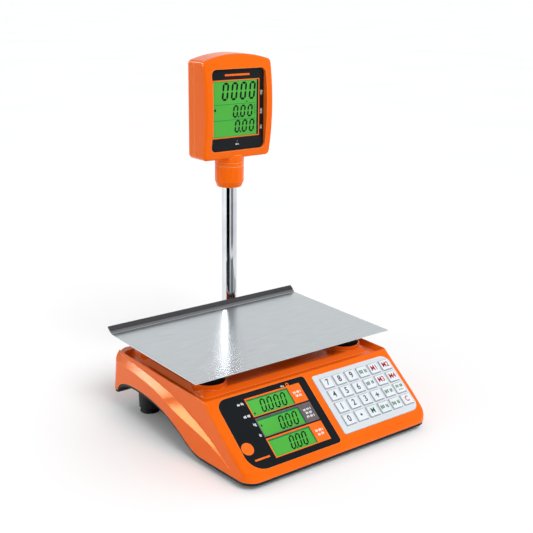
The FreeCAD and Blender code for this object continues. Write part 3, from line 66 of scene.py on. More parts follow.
class Finish:
    """A node material under construction: one Principled shader and the textures that drive it."""

    def __init__(self, name, **sockets):
        self.material = bpy.data.materials.new(name)
        self.material.use_nodes = True
        self.tree = self.material.node_tree
        self.tree.nodes.clear()
        output = self.add("ShaderNodeOutputMaterial")
        self.shader = self.add("ShaderNodeBsdfPrincipled")
        self.link(self.shader.outputs["BSDF"], output.inputs["Surface"])
        self.place = self.add("ShaderNodeTexCoord").outputs["Object"]
        self.normal = None
        for socket, value in sockets.items():
            self.shader.inputs[socket.replace("_", " ")].default_value = value

    def add(self, kind, **settings):
        node = self.tree.nodes.new(kind)
        for name, value in settings.items():
            setattr(node, name, value)
        return node

    def link(self, start, end):
        self.tree.links.new(start, end)

    def stretched(self, scale):
        """Object coordinates scaled by a different amount along each axis."""
        node = self.add("ShaderNodeMapping")
        node.inputs["Scale"].default_value = scale
        self.link(self.place, node.inputs["Vector"])
        return node.outputs["Vector"]

    def noise(self, scale, detail=3.0, stretch=None, roughness=0.5):
        node = self.add("ShaderNodeTexNoise")
        node.inputs["Scale"].default_value = scale
        node.inputs["Detail"].default_value = detail
        node.inputs["Roughness"].default_value = roughness
        self.link(self.stretched(stretch) if stretch else self.place, node.inputs["Vector"])
        return node.outputs["Fac"]

    def height(self):
        """How high a point of the object is, in metres."""
        node = self.add("ShaderNodeSeparateXYZ")
        self.link(self.place, node.inputs["Vector"])
        return node.outputs["Z"]

    def blend(self, factor, first, second):
        """One colour carried over into another by a factor."""
        node = self.add("ShaderNodeMix", data_type="RGBA")
        self.link(factor, node.inputs[0])
        self.link(first, node.inputs[6])
        self.link(second, node.inputs[7])
        return node.outputs[2]

    def span(self, value, low, high, start=0.3, end=0.7):
        """A texture's middle range carried to low..high."""
        node = self.add("ShaderNodeMapRange")
        node.inputs["From Min"].default_value = start
        node.inputs["From Max"].default_value = end
        node.inputs["To Min"].default_value = low
        node.inputs["To Max"].default_value = high
        self.link(value, node.inputs["Value"])
        return node.outputs["Result"]

    def ramp(self, value, *stops):
        node = self.add("ShaderNodeValToRGB")
        ramp = node.color_ramp
        while len(ramp.elements) < len(stops):
            ramp.elements.new(0.5)
        for element, (position, colour) in zip(ramp.elements, stops):
            element.position = position
            element.color = rgb(colour)
        self.link(value, node.inputs["Fac"])
        return node.outputs["Color"]

    def colour(self, value, *stops):
        self.link(self.ramp(value, *stops), self.shader.inputs["Base Color"])
        return self

    def drive(self, socket, value, low, high):
        self.link(self.span(value, low, high), self.shader.inputs[socket])
        return self

    def soften(self, radius):
        """Edges catch light as if they were rounded by this radius."""
        node = self.add("ShaderNodeBevel", samples=6)
        node.inputs["Radius"].default_value = radius
        self.normal = node.outputs["Normal"]
        return self

    def edges(self):
        """How near a point is to an edge, from the softened normal against the true one: the strength of the
        painted highlight along edges.
        """
        true = self.add("ShaderNodeNewGeometry").outputs["Normal"]
        turned = self.add("ShaderNodeVectorMath", operation="DOT_PRODUCT")
        self.link(self.normal, turned.inputs[0])
        self.link(true, turned.inputs[1])
        return self.span(turned.outputs["Value"], 0.6, 0.0, 0.94, 0.995)

    def relief(self, value, distance, strength=1.0):
        node = self.add("ShaderNodeBump")
        node.inputs["Distance"].default_value = distance
        node.inputs["Strength"].default_value = strength
        self.link(value, node.inputs["Height"])
        if self.normal is not None:
            self.link(self.normal, node.inputs["Normal"])
        self.normal = node.outputs["Normal"]
        return self

    def done(self):
        if self.normal is not None:
            self.link(self.normal, self.shader.inputs["Normal"])
        return self.material


def moulded(name, dark, light, roughness, shine=0.3, grain=700.0, depth=0.000006, edge=0.0006):
    """Moulded plastic: slight colour drift, uneven gloss and a fine grain."""
    finish = Finish(name, Specular_IOR_Level=shine)
    finish.colour(finish.noise(9.0, 3.0), (0.3, dark), (0.7, light))
    finish.drive("Roughness", finish.noise(30.0, 4.0), roughness - 0.02, roughness + 0.03)
    finish.soften(edge)
    finish.relief(finish.noise(grain, 2.0), depth)
    return finish.done()


def orange_moulding(name):
    """Glossy orange plastic with a painted highlight, a paler orange, along its edges, and reflections that take
    on its colour.
    """
    finish = Finish(name, Specular_IOR_Level=0.34, Specular_Tint=rgb("FFAE60"))
    base = finish.ramp(finish.noise(9.0, 3.0), (0.3, "E8600C"), (0.7, "EC660F"))
    # pale: the painted highlight, blended in along the edges below
    pale = finish.ramp(finish.noise(20.0, 2.0), (0.3, "FFB470"), (0.7, "FFBE7E"))
    finish.drive("Roughness", finish.noise(30.0, 4.0), 0.17, 0.22)
    finish.soften(0.0011)
    finish.link(finish.blend(finish.edges(), base, pale), finish.shader.inputs["Base Color"])
    finish.relief(finish.noise(700.0, 2.0), 0.000005)
    return finish.done()


def rubber(name, dark, light):
    finish = Finish(name, Specular_IOR_Level=0.18)
    finish.colour(finish.noise(60.0, 5.0), (0.35, dark), (0.65, light))
    finish.drive("Roughness", finish.noise(120.0, 4.0), 0.62, 0.85)
    finish.soften(0.0005)
    finish.relief(finish.noise(1400.0, 3.0), 0.00004)
    return finish.done()


def brushed(name, dark, light, roughness, stretch, lines=420.0):
    """Brushed sheet metal: fine scratches along one axis."""
    finish = Finish(name, Metallic=1.0)
    scratches = finish.noise(lines, 4.0, stretch, 0.6)
    finish.colour(scratches, (0.3, dark), (0.7, light))
    finish.drive("Roughness", scratches, roughness - 0.02, roughness + 0.03)
    finish.relief(scratches, 0.0000015)
    return finish.done()


def pan_sheet(name):
    """Brushed stainless steel whose bent-up rear lip is left dull and dark."""
    finish = Finish(name)
    scratches = finish.noise(900.0, 4.0, (0.04, 1.0, 1.0), 0.6)
    bright = finish.ramp(scratches, (0.3, "C3C8CB"), (0.7, "CFD4D7"))
    dull = finish.ramp(scratches, (0.3, "5E5F62"), (0.7, "68696C"))
    lip = finish.span(finish.height(), 0.0, 1.0, PAN_TOP + 0.0002, PAN_TOP + 0.0009)
    finish.link(finish.blend(lip, bright, dull), finish.shader.inputs["Base Color"])
    finish.link(finish.span(lip, 1.0, 0.0, 0.0, 1.0), finish.shader.inputs["Metallic"])
    finish.link(finish.span(lip, 0.24, 0.5, 0.0, 1.0), finish.shader.inputs["Roughness"])
    finish.relief(scratches, 0.0000012)
    return finish.done()


def plated(name, dark, light, roughness):
    """A plated or machined metal with faint clouding."""
    finish = Finish(name, Metallic=1.0)
    finish.colour(finish.noise(30.0, 4.0), (0.35, dark), (0.65, light))
    finish.drive("Roughness", finish.noise(90.0, 5.0), roughness * 0.7, roughness * 1.4)
    finish.relief(finish.noise(700.0, 2.0), 0.000004)
    return finish.done()


def ink(name, dark, light, roughness=0.4):
    """Screen-printed ink, slightly uneven in tone."""
    finish = Finish(name, Specular_IOR_Level=0.15)
    finish.colour(finish.noise(150.0, 4.0), (0.35, dark), (0.65, light))
    finish.drive("Roughness", finish.noise(400.0, 3.0), roughness - 0.06, roughness + 0.1)
    return finish.done()


def circuit(name):
    """Green solder mask over faint copper tracks."""
    finish = Finish(name)
    tracks = finish.add("ShaderNodeTexBrick")
    tracks.inputs["Scale"].default_value = 220.0
    tracks.inputs["Mortar Size"].default_value = 0.03
    tracks.inputs["Color1"].default_value = rgb("0E5A33")
    tracks.inputs["Color2"].default_value = rgb("12643A")
    tracks.inputs["Mortar"].default_value = rgb("2E8A52")
    finish.link(finish.place, tracks.inputs["Vector"])
    finish.link(tracks.outputs["Color"], finish.shader.inputs["Base Color"])
    finish.drive("Roughness", finish.noise(200.0), 0.25, 0.45)
    finish.relief(finish.noise(500.0, 4.0), 0.00003)
    return finish.done()


def backlit(name):
    """A reflective display lit from behind: even green, a little brighter in patches."""
    finish = Finish(name, Roughness=0.35, Emission_Strength=0.06, Specular_IOR_Level=0.15)
    glow = finish.ramp(finish.noise(14.0, 2.0), (0.3, "459F39"), (0.7, "4DA840"))
    finish.link(glow, finish.shader.inputs["Base Color"])
    finish.link(glow, finish.shader.inputs["Emission Color"])
    finish.relief(finish.noise(2400.0, 1.0), 0.000002)
    return finish.done()


def chrome(name):
    finish = Finish(name, Metallic=1.0)
    finish.colour(finish.noise(25.0, 3.0), (0.3, "C9CCD0"), (0.7, "DDE0E3"))
    finish.drive("Roughness", finish.noise(60.0, 6.0, (1.0, 1.0, 0.2)), 0.05, 0.09)
    finish.relief(finish.noise(500.0, 3.0, (1.0, 1.0, 0.1)), 0.000002)
    return finish.done()


def make_finishes():
    """One material for each of the record's slots, and the printed and lit ones of this script."""
    return {
        "orange_plastic": orange_moulding("orange_plastic"),
        "black_plastic": moulded("black_plastic", "0F1011", "151618", 0.5, 0.25, 1300.0, 0.00004),
        "rubber_black": rubber("rubber_black", "07090B", "0C0E11"),
        "rubber_grey": rubber("rubber_grey", "54585B", "64686B"),
        "cast_alloy": plated("cast_alloy", "8E9194", "A4A7AA", 0.42),
        "cell_aluminium": brushed("cell_aluminium", "9EA3A8", "C6CACE", 0.34, (0.08, 1.0, 1.0)),
        "zinc_steel": plated("zinc_steel", "9C9FA3", "BDC0C3", 0.3),
        "pan_steel": pan_sheet("pan_steel"),
        "guard_dark": moulded("guard_dark", "353537", "3D3D40", 0.42, 0.3, 1100.0, 0.00001, 0.0003),
        "panel_black": moulded("panel_black", "13171A", "171B1E", 0.3, 0.12, 700.0, 0.000003, 0.0003),
        "plate_silver": moulded("plate_silver", "C4CACF", "CDD2D7", 0.36, 0.3, 1500.0, 0.000004, 0.0003),
        "key_plastic": moulded("key_plastic", "D0D6DB", "D9DEE3", 0.3, 0.4, 1500.0, 0.000004, 0.0005),
        # grey for the painted shadow round each key
        "key_gap": moulded("key_gap", "7B838A", "8A9298", 0.5, 0.2, 1500.0, 0.000004, 0.0001),
        "board_green": circuit("board_green"),
        "lcd_glass": backlit("lcd_glass"),
        "battery_case": moulded("battery_case", "1E2124", "2A2D31", 0.45),
        "rocker_plastic": moulded("rocker_plastic", "141516", "1C1D1F", 0.32),
        "bracket_black": moulded("bracket_black", "111213", "1A1B1C", 0.45, 0.3, 1200.0, 0.00002),
        "pole_chrome": chrome("pole_chrome"),
        "cable_rubber": rubber("cable_rubber", "101112", "1B1C1D"),
        "print_orange": ink("print_orange", "EE6414", "F26E1C"),
        "print_brown": ink("print_brown", "5D5456", "685F61"),
        "print_white": ink("print_white", "DADDDF", "EEF0F1"),
        "print_green": ink("print_green", "125A2E", "1A6838"),
        "print_red": ink("print_red", "9E1B1E", "B32A2A"),
        "print_dark": ink("print_dark", "2C3237", "363C41"),
        # near-black ink for the digits, and for the painted shadow down the head glass's right edge
        "dark_segments_and_painted_shadow": ink("dark_segments_and_painted_shadow", "03070E", "060C16", 0.4),
        # teal ink for the head's rules and for the painted shade on the console glasses
        "teal_rules_and_painted_shade": ink("teal_rules_and_painted_shade", "0B7A42", "10884B", 0.4),
    }


FINISH = make_finishes()


def finish_nodes():
    """Give every carried-over CAD node the material of its slot."""
    for row in frame["record"]["subparts"]:
        mesh = NODES[row["node"]].data
        mesh.materials.clear()
        mesh.materials.append(FINISH[row["material_slot"]])


# --- Pieces -----------------------------------------------------------------------------------------


def piece(name, mesh, finish, body):
    """Put a finished mesh in the scene, in the row frame, riding on a CAD body."""
    thing = bpy.data.objects.new(name, mesh)
    bpy.context.scene.collection.objects.link(thing)
    mesh.materials.clear()
    mesh.materials.append(FINISH[finish])
    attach(thing, body)
    return thing


def outline(left, right, low, high, rounds=(0.0, 0.0, 0.0, 0.0), steps=8):
    """A rectangle's points, counter-clockwise, its corners rounded from the lower left one on."""
    corners = ((left, low, 1, 1, 180), (right, low, -1, 1, 270),
               (right, high, -1, -1, 0), (left, high, 1, -1, 90))
    points = []
    for (x, y, in_x, in_y, start), radius in zip(corners, rounds):
        if radius <= 0:
            points.append((x, y))
            continue
        for n in range(steps + 1):
            angle = math.radians(start + 90 * n / steps)
            points.append((x + in_x * radius + radius * math.cos(angle),
                           y + in_y * radius + radius * math.sin(angle)))
    return points


def circle(x, y, radius, steps=40):
    return [(x + radius * math.cos(2 * math.pi * n / steps), y + radius * math.sin(2 * math.pi * n / steps))
            for n in range(steps)]


def cut_sheet(name, outlines, low, high, edge, place):
    """A flat sheet with softened edges, cut to closed outlines, where one inside another is a hole."""
    curve = bpy.data.curves.new(name, "CURVE")
    curve.dimensions = "2D"
    curve.fill_mode = "BOTH"
    curve.extrude = (high - low) / 2 - edge
    curve.bevel_depth = edge
    curve.bevel_resolution = 1
    curve.offset = -edge
    for points in outlines:
        spline = curve.splines.new("POLY")
        spline.points.add(len(points) - 1)
        for point, (x, y) in zip(spline.points, points):
            point.co = (x, y, 0.0, 1.0)
        spline.use_cyclic_u = True
    return as_mesh(name, curve, place @ Matrix.Translation((0, 0, (high + low) / 2)))


def as_mesh(name, curve, place):
    """A curve's or a text's faces as a welded mesh, moved to its place."""
    holder = bpy.data.objects.new(name, curve)
    bpy.context.scene.collection.objects.link(holder)
    bpy.context.view_layer.update()
    mesh = bpy.data.meshes.new_from_object(holder.evaluated_get(bpy.context.evaluated_depsgraph_get()))
    bpy.data.objects.remove(holder)
    bpy.data.curves.remove(curve)
    mesh.transform(place)
    work = bmesh.new()
    work.from_mesh(mesh)
    bmesh.ops.remove_doubles(work, verts=work.verts, dist=1e-7)
    bmesh.ops.recalc_face_normals(work, faces=work.faces)
    work.to_mesh(mesh)
    work.free()
    mesh.name = name
    return mesh


def digit_mesh(name, text, height, thick, bold, place):
    """Printed digits, centred on the place's origin."""
    curve = bpy.data.curves.new(name, "FONT")
    curve.body = text
    curve.align_x, curve.align_y = "CENTER", "CENTER"
    curve.size = height
    curve.extrude = thick / 2
    curve.offset = bold
    squeeze = Matrix.Diagonal((0.86, 1.0, 1.0, 1.0))
    return as_mesh(name, curve, place @ Matrix.Translation((0, 0, thick / 2)) @ squeeze)


# --- Frames on the object ---------------------------------------------------------------------------


def console_tilt():
    """The console's slope, from the direction in which its keys travel."""
    travel = next(j for j in frame["joints"] if j["child"] == "key_r1_c1")["axis"]
    return math.atan2(travel[1], -travel[2])


def console_frame(node):
    """A console plate's own frame: origin at its upper left corner, X right, Y up the slope, Z outward."""
    low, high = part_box(node)
    tilt = console_tilt()
    c, s = math.cos(tilt), math.sin(tilt)
    thick = ((high.z - low.z) * c - (high.y - low.y) * s) / (c * c - s * s)
    return Matrix.Translation((low.x, high.y - thick * s, high.z)) @ Matrix.Rotation(tilt, 4, "X")


def upright_frame(node):
    """The head's own frame: origin at the node's upper left front corner, X right, Y up, Z forward."""
    low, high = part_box(node)
    return Matrix.Translation((low.x, low.y, high.z)) @ Matrix.Rotation(math.radians(90), 4, "X")


def local_box(node, place):
    """A CAD node's lowest and highest corner in another frame."""
    back = place.inverted()
    points = [back @ v.co for v in NODES[node].data.vertices]
    return (Vector([min(p[n] for p in points) for n in range(3)]),
            Vector([max(p[n] for p in points) for n in range(3)]))


# --- Seven-segment readouts ---------------------------------------------------------------------------


def segment_outlines(left, low, width, height, stroke, lean):
    """The six outer segments of a zero, as mitred bars leaning to the right."""
    right, high, middle = left + width, low + height, low + height / 2
    gap, half = stroke * 0.12, stroke / 2

    def bar(x0, y0, x1, y1):
        """A pointed bar between two joints."""
        along = Vector((x1 - x0, y1 - y0)).normalized()
        side = Vector((-along.y, along.x)) * half
        start, end = Vector((x0, y0)) + along * gap, Vector((x1, y1)) - along * gap
        tips = (start, start + along * half - side, end - along * half - side, end,
                end - along * half + side, start + along * half + side)
        return [(p.x + (p.y - low) * lean, p.y) for p in tips]
    x0, x1, y0, y1 = left + half, right - half, low + half, high - half
    return [bar(x0, y0, x1, y0), bar(x0, y1, x1, y1), bar(x0, y0, x0, middle), bar(x0, middle, x0, y1),
            bar(x1, y0, x1, middle), bar(x1, middle, x1, y1)]


def readout(right, low, count, point, pitch, width, height, stroke, lean=0.08):
    """Outlines of a row of zeros, right-aligned, with a decimal point after one of them."""
    shapes = []
    for place in range(count):
        left = right - width - (count - 1 - place) * pitch
        shapes += segment_outlines(left, low, width, height, stroke, lean)
        if place == point:
            middle = left + width + (pitch - width) / 2
            shapes.append(outline(middle - stroke * 0.45, middle + stroke * 0.45, low, low + stroke * 0.9))
    return shapes


def arrow(x, y, reach):
    """A small triangle that points to the left."""
    return [(x, y), (x + reach, y - reach * 0.6), (x + reach, y + reach * 0.6)]


# --- The console ---------------------------------------------------------------------------------------


SHEET_EDGE = 0.0002
PRINT = 0.00006
GLASS_DROP = 0.0009
KEY_WINDOW = (0.0173, 0.0161)
# Each readout's count of digits, their pitch and width, and the gap to the window's right edge.
READOUTS = ((4, 11.0, 8.0, 10.5), (3, 10.9, 8.0, 9.4), (3, 10.0, 7.6, 12.5))
KEY_SIGNS = (("7", "8", "9", "word", "M1", "M2"),
             ("4", "5", "6", "word", "M3", "M4"),
             ("1", "2", "3", "plus", "word", "lines"),
             ("0", "point", "M", "word", "word", "C"))
KEY_TONES = (("dark", "dark", "dark", "green", "red", "red"),
             ("dark", "dark", "dark", "green", "red", "red"),
             ("dark", "dark", "dark", "green", "green", "green"),
             ("dark", "dark", "green", "green", "green", "red"))


def word_marks(x, y, width, height, seed, lean=0.0):
    """A row of short strokes of uneven height, in place of a printed word, about a middle point."""
    dice = random.Random(seed)
    stroke, gap = 0.23 * height, 0.13 * height
    count = int((width + gap) / (stroke + gap))
    left = x - (count * (stroke + gap) - gap) / 2
    shapes = []
    for n in range(count):
        if n % 4 == 3:
            continue
        start = left + n * (stroke + gap)
        low = y - height / 2 * dice.uniform(0.6, 1.0)
        high = y + height / 2 * dice.uniform(0.6, 1.0)
        shapes.append([(start, low), (start + stroke, low),
                       (start + stroke + lean, high), (start + lean, high)])
    return shapes


def printed(name, shapes, level, finish, body, place):
    """A thin printed layer on a plate's face."""
    mesh = cut_sheet(name, shapes, level, level + PRINT, PRINT * 0.1, place)
    return piece(name, mesh, finish, body)


def console_windows(glass_low, glass_high):
    """The faceplate's three windows, from the top down, as left, right, low and high."""
    pitch = (glass_high.y - glass_low.y) * 29.6 / 86.2
    tall = (glass_high.y - glass_low.y) - 2 * pitch
    left, right = glass_low.x + 1.2 * MM, glass_high.x - 1.5 * MM
    windows = []
    for row in range(3):
        top = glass_high.y - row * pitch - 1.4 * MM
        windows.append((left, right, top - tall + 2.6 * MM, top))
    return windows


def console_readout(row, window, floor_level, place):
    """One window's glass, its digits and a painted shade along the glass's top and right edges."""
    x0, x1, y0, y1 = window
    name = f"console_glass_{row + 1}"
    shape = outline(x0 - MM, x1 + MM, y0 - 0.8 * MM, y1 + 0.8 * MM)
    glass = cut_sheet(name, [shape], floor_level + 0.0001, -GLASS_DROP, 0.0001, place)
    piece(name, glass, "lcd_glass", "base")
    count, step, wide, inset = READOUTS[row]
    shapes = readout(x1 - inset * MM, y0 + 2.2 * MM, count, 0, step * MM, wide * MM,
                     (y1 - y0) - 5.6 * MM, 2.05 * MM, 0.22)
    if row < 2:
        shapes.append(arrow(x0 + 1.6 * MM, y0 + (4.0 if row == 0 else 15.5) * MM, 3.0 * MM))
    printed(f"console_digits_{row + 1}", shapes, -GLASS_DROP, "dark_segments_and_painted_shadow", "base", place)
    # painted shade: a teal strip along the top and down the right edge of the glass
    low, inner = y1 - 1.9 * MM, x1 - 1.5 * MM
    edge = [(x0, y1), (x0, low), (inner, low), (inner, y0), (x1, y0), (x1, y1)]
    printed(f"console_painted_shade_{row + 1}", [edge], -GLASS_DROP, "teal_rules_and_painted_shade", "base", place)


def console_surround(row, window, tab, place):
    """The coloured border of one window, with its tab and the marks printed on the tab."""
    x0, x1, y0, y1 = window
    border = outline(x0 - 1.3 * MM, tab, y0 - (1.2 if row == 2 else 0.9) * MM, y1 + 2.2 * MM)
    tone = "print_brown" if row == 1 else "print_orange"
    printed(f"console_surround_{row + 1}", [border, outline(x0, x1, y0, y1)], 0.0, tone, "base", place)
    marks = []
    lines = 3 if row == 1 else 2
    for n in range(lines):
        level = (y0 + y1) / 2 + ((lines - 1) / 2 - n) * 5.2 * MM
        width = (13.5 - 3.5 * (n % 2)) * MM
        marks += word_marks((x1 + tab) / 2 + 0.4 * MM, level, width, 3.9 * MM, 7 * row + n)
    printed(f"console_tab_marks_{row + 1}", marks, PRINT, "print_white", "base", place)


def console_signs(first, second, right, place):
    """The marks left of the windows, the units, the power light, the disc and the stripe."""
    marks = []
    for number, level in enumerate((0.86, 0.12)):
        height = first[2] + (first[3] - first[2]) * level
        marks += word_marks(first[0] - 9.5 * MM, height, 12.0 * MM, 4.0 * MM, 31 + number)
    led_x, led_y = right + 3.0 * MM, first[3] + 4.4 * MM
    marks += word_marks(led_x - 8.0 * MM, led_y - 0.4 * MM, 5.4 * MM, 2.9 * MM, 41)
    printed("console_marks", marks, 0.0, "print_white", "base", place)
    for unit, level in (("kg", 0.80), ("lb", 0.14)):
        height = second[2] + (second[3] - second[2]) * level
        spot = Matrix.Translation((second[0] - 5.6 * MM, height, 0.0))
        mesh = digit_mesh(f"console_unit_{unit}", unit, 5.6 * MM, PRINT, 0.00008, place @ spot)
        piece(f"console_unit_{unit}", mesh, "print_white", "base")
    ring = cut_sheet("power_light_ring", [circle(led_x, led_y, r * MM) for r in (2.6, 1.3)],
                     0.0, 0.00035, 0.0001, place)
    piece("power_light_ring", ring, "print_orange", "base")
    disc = cut_sheet("console_disc", [circle(8.9 * MM, -72.0 * MM, 8.5 * MM, 64)], 0.0, 2 * PRINT,
                     PRINT * 0.2, place)
    piece("console_disc", disc, "print_orange", "base")
    stripe = outline(10.5 * MM, 33.0 * MM, -90.6 * MM, -88.2 * MM)
    printed("console_stripe", [stripe], 0.0, "print_orange", "base", place)


def console_display():
    """The dark faceplate with its three windows, the glasses in them and everything printed on it."""
    place = console_frame("display_panel")
    low, high = local_box("display_panel", place)
    windows = console_windows(*local_box("console_lcds", place))
    rounds = tuple(r * MM for r in (24, 5, 5, 14))
    shapes = [outline(low.x, high.x, low.y, high.y, rounds, 16)] + [outline(*w) for w in windows]
    panel = cut_sheet("console_faceplate", shapes, low.z, high.z, SHEET_EDGE, place)
    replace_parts(piece("console_faceplate", panel, "panel_black", "base"), "display_panel")
    right = windows[0][1]
    for row, window in enumerate(windows):
        console_readout(row, window, low.z, place)
        console_surround(row, window, right + 21.5 * MM, place)
    console_signs(windows[0], windows[1], right, place)


def sign_outlines(sign, seed):
    """A generic sign drawn about the origin: a point, a plus, or strokes in place of a word."""
    if sign == "point":
        return [circle(0, 0, 1.7 * MM, 28)]
    if sign == "plus":
        arm, half = 3.4 * MM, 0.85 * MM
        return [[(-half, -arm), (half, -arm), (half, -half), (arm, -half), (arm, half), (half, half),
                 (half, arm), (-half, arm), (-half, half), (-arm, half), (-arm, -half), (-half, -half)]]
    if sign == "lines":
        return (word_marks(0.0, 2.3 * MM, 12.5 * MM, 5.0 * MM, seed) +
                word_marks(0.6 * MM, -3.3 * MM, 9.0 * MM, 2.6 * MM, seed + 1))
    return word_marks(0.0, 0.0, 13.0 * MM, 6.4 * MM, seed)


def key_prints():
    """The sign on each key, which goes down with it, and a painted shadow round it in the plate, widest at the
    left and bottom.
    """
    plate = console_frame("keypad_plate")
    level = local_box("keypad_plate", plate)[1].z
    painted_key_shadows = []
    for row in range(KEY_ROWS):
        for column in range(KEY_COLUMNS):
            key = f"key_r{row + 1}_c{column + 1}"
            low, high = local_box(key, plate)
            x, y = (low.x + high.x) / 2, (low.y + high.y) / 2
            half_x, half_y = KEY_WINDOW[0] / 2, KEY_WINDOW[1] / 2
            # painted shadow: a grey ring round each key window, widest at the left and bottom
            painted_key_shadows.append(outline(x - half_x - 0.55 * MM, x + half_x + 0.35 * MM, y - half_y - 0.55 * MM,
                                y + half_y + 0.2 * MM, (0.8 * MM,) * 4, 4))
            painted_key_shadows.append(outline(x - half_x, x + half_x, y - half_y, y + half_y))
            place = plate @ Matrix.Translation((x, y, high.z))
            sign, tone = KEY_SIGNS[row][column], KEY_TONES[row][column]
            name = f"sign_r{row + 1}_c{column + 1}"
            if sign.isdigit():
                mesh = digit_mesh(name, sign, 12.6 * MM, PRINT, 0.00022, place)
            elif sign[0] in "MC":
                mesh = digit_mesh(name, sign, 11.0 * MM, PRINT, 0.0002, place)
            else:
                shapes = sign_outlines(sign, 50 + 10 * row + column)
                mesh = cut_sheet(name, shapes, 0.0, PRINT, PRINT * 0.1, place)
            piece(name, mesh, f"print_{tone}", key)
    printed("key_painted_shadows", painted_key_shadows, level, "key_gap", "base", plate)


# --- The head ---------------------------------------------------------------------------------------------


def head_readouts(x0, x1, y0, y1, place):
    """The head's three rows of digits, a painted shadow strip down the glass's right edge, and the thin lines
    between the rows.
    """
    shapes = readout(x1 - 6.6 * MM, y1 - 28.6 * MM, 4, -1, 16.0 * MM, 11.4 * MM, 26.0 * MM, 3.3 * MM, 0.11)
    shapes += readout(x1 - 11.0 * MM, y1 - 54.2 * MM, 3, 0, 13.0 * MM, 9.4 * MM, 18.2 * MM, 2.7 * MM, 0.11)
    shapes += readout(x1 - 7.8 * MM, y1 - 76.3 * MM, 3, 0, 13.0 * MM, 9.4 * MM, 18.6 * MM, 2.7 * MM, 0.11)
    shapes.append(arrow(x0 + 0.6 * MM, y1 - 41.5 * MM, 4.2 * MM))
    diamond = ((-23.0, -31.3), (-20.6, -32.1), (-18.2, -31.3), (-20.6, -30.5))
    shapes.append([(x1 + dx * MM, y1 + dy * MM) for dx, dy in diamond])
    # painted shadow: a dark strip down the right edge of the glass
    shapes.append(outline(x1 - 2.6 * MM, x1 - 0.2 * MM, y0 + 0.2 * MM, y1 - 0.2 * MM))
    for step in range(4):
        y = y1 - (37.0 + 3.6 * step) * MM
        shapes.append(outline(x1 - 6.8 * MM, x1 - 5.6 * MM, y - 1.6 * MM, y))
    printed("head_digits_and_painted_shadow", shapes, -GLASS_DROP, "dark_segments_and_painted_shadow", "head", place)
    lines = [outline(x0 + 0.3 * MM, x1 - 5.0 * MM, y1 - (d + 0.8) * MM, y1 - d * MM) for d in (33.7, 56.6)]
    printed("head_rules", lines, -GLASS_DROP, "teal_rules_and_painted_shade", "head", place)


def head_signs(low, high, x1, y0, y1, place):
    """The marks beside and under the head's glass, the lamp and the stripe above."""
    marks = []
    side = (x1 + high.x) / 2 + 0.6 * MM
    for number, (down, tall) in enumerate(((16.0, 7.0), (43.0, 8.0), (68.0, 5.6))):
        middle = y1 - (down + tall / 2) * MM
        for shift in (-1.3, 0.9):
            turned = word_marks(middle, side + shift * MM, tall * MM, 1.7 * MM, 61 + number)
            marks += [[(b, a) for a, b in reversed(shape)] for shape in turned]
    middle = (low.x + high.x) / 2
    marks += word_marks(middle, y0 - 11.6 * MM, 5.6 * MM, 2.6 * MM, 71)
    printed("head_marks", marks, 0.0, "print_white", "head", place)
    lamp = cut_sheet("head_lamp", [circle(middle, y0 - 6.8 * MM, 1.1 * MM, 28)], 0.0, 0.0004, 0.00015, place)
    piece("head_lamp", lamp, "print_brown", "head")
    stripe = outline(middle - 22.0 * MM, middle + 22.0 * MM, y1 + 6.6 * MM, y1 + 9.4 * MM)
    printed("head_stripe", [stripe], 0.0, "print_orange", "head", place)


def head_display():
    """The head's dark window with its glass, readouts and printed marks."""
    place = upright_frame("head_lens")
    low, high = local_box("head_lens", place)
    glass_low, glass_high = local_box("head_lcd", place)
    x0, x1, y0, y1 = glass_low.x, glass_high.x, glass_low.y, glass_high.y
    rounds, hole = (8.0 * MM,) * 4, outline(x0, x1, y0, y1)
    lens = cut_sheet("head_window", [outline(low.x, high.x, low.y, high.y, rounds, 12), hole],
                     low.z, high.z, SHEET_EDGE, place)
    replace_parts(piece("head_window", lens, "panel_black", "head"), "head_lens")
    glass = cut_sheet("head_glass", [outline(x0 - MM, x1 + MM, y0 - MM, y1 + MM)], low.z + 0.0001,
                      -GLASS_DROP, 0.0001, place)
    piece("head_glass", glass, "lcd_glass", "head")
    border = outline(x0 - 1.3 * MM, x1 + 1.6 * MM, y0 - 1.3 * MM, y1 + 1.3 * MM)
    printed("head_border", [border, hole], 0.0, "print_orange", "head", place)
    head_readouts(x0, x1, y0, y1, place)
    head_signs(low, high, x1, y0, y1, place)


# --- Studio and camera --------------------------------------------------------------------------------------


def floor():
    """A wide pale floor."""
    mesh = bpy.data.meshes.new("floor")
    reach = 60.0
    mesh.from_pydata([(-reach, -reach, 0), (reach, -reach, 0), (reach, reach, 0), (-reach, reach, 0)], [],
                     [(0, 1, 2, 3)])
    thing = bpy.data.objects.new("floor", mesh)
    bpy.context.scene.collection.objects.link(thing)
    finish = Finish("floor")
    finish.colour(finish.noise(1.5, 2.0), (0.3, "F4F4F4"), (0.7, "F8F8F8"))
    finish.drive("Roughness", finish.noise(3.0), 0.75, 0.85)
    mesh.materials.append(finish.done())


def soft_light(name, place, aim, width, height, power, reflected_only=False):
    """A rectangular lamp that the camera doesn't see."""
    data = bpy.data.lights.new(name, "AREA")
    data.shape = "RECTANGLE"
    data.size, data.size_y = width, height
    data.energy = power
    thing = bpy.data.objects.new(name, data)
    bpy.context.scene.collection.objects.link(thing)
    thing.location = place
    thing.rotation_mode = "QUATERNION"
    thing.rotation_quaternion = (Vector(aim) - Vector(place)).to_track_quat("-Z", "Y")
    thing.visible_camera = False
    thing.visible_diffuse = not reflected_only


def sun(name, toward, angle, strength):
    """A soft far lamp that lights the whole floor evenly."""
    data = bpy.data.lights.new(name, "SUN")
    data.angle = math.radians(angle)
    data.energy = strength
    thing = bpy.data.objects.new(name, data)
    bpy.context.scene.collection.objects.link(thing)
    thing.rotation_mode = "QUATERNION"
    thing.rotation_quaternion = Vector(toward).to_track_quat("-Z", "Y")
    thing.visible_glossy = False


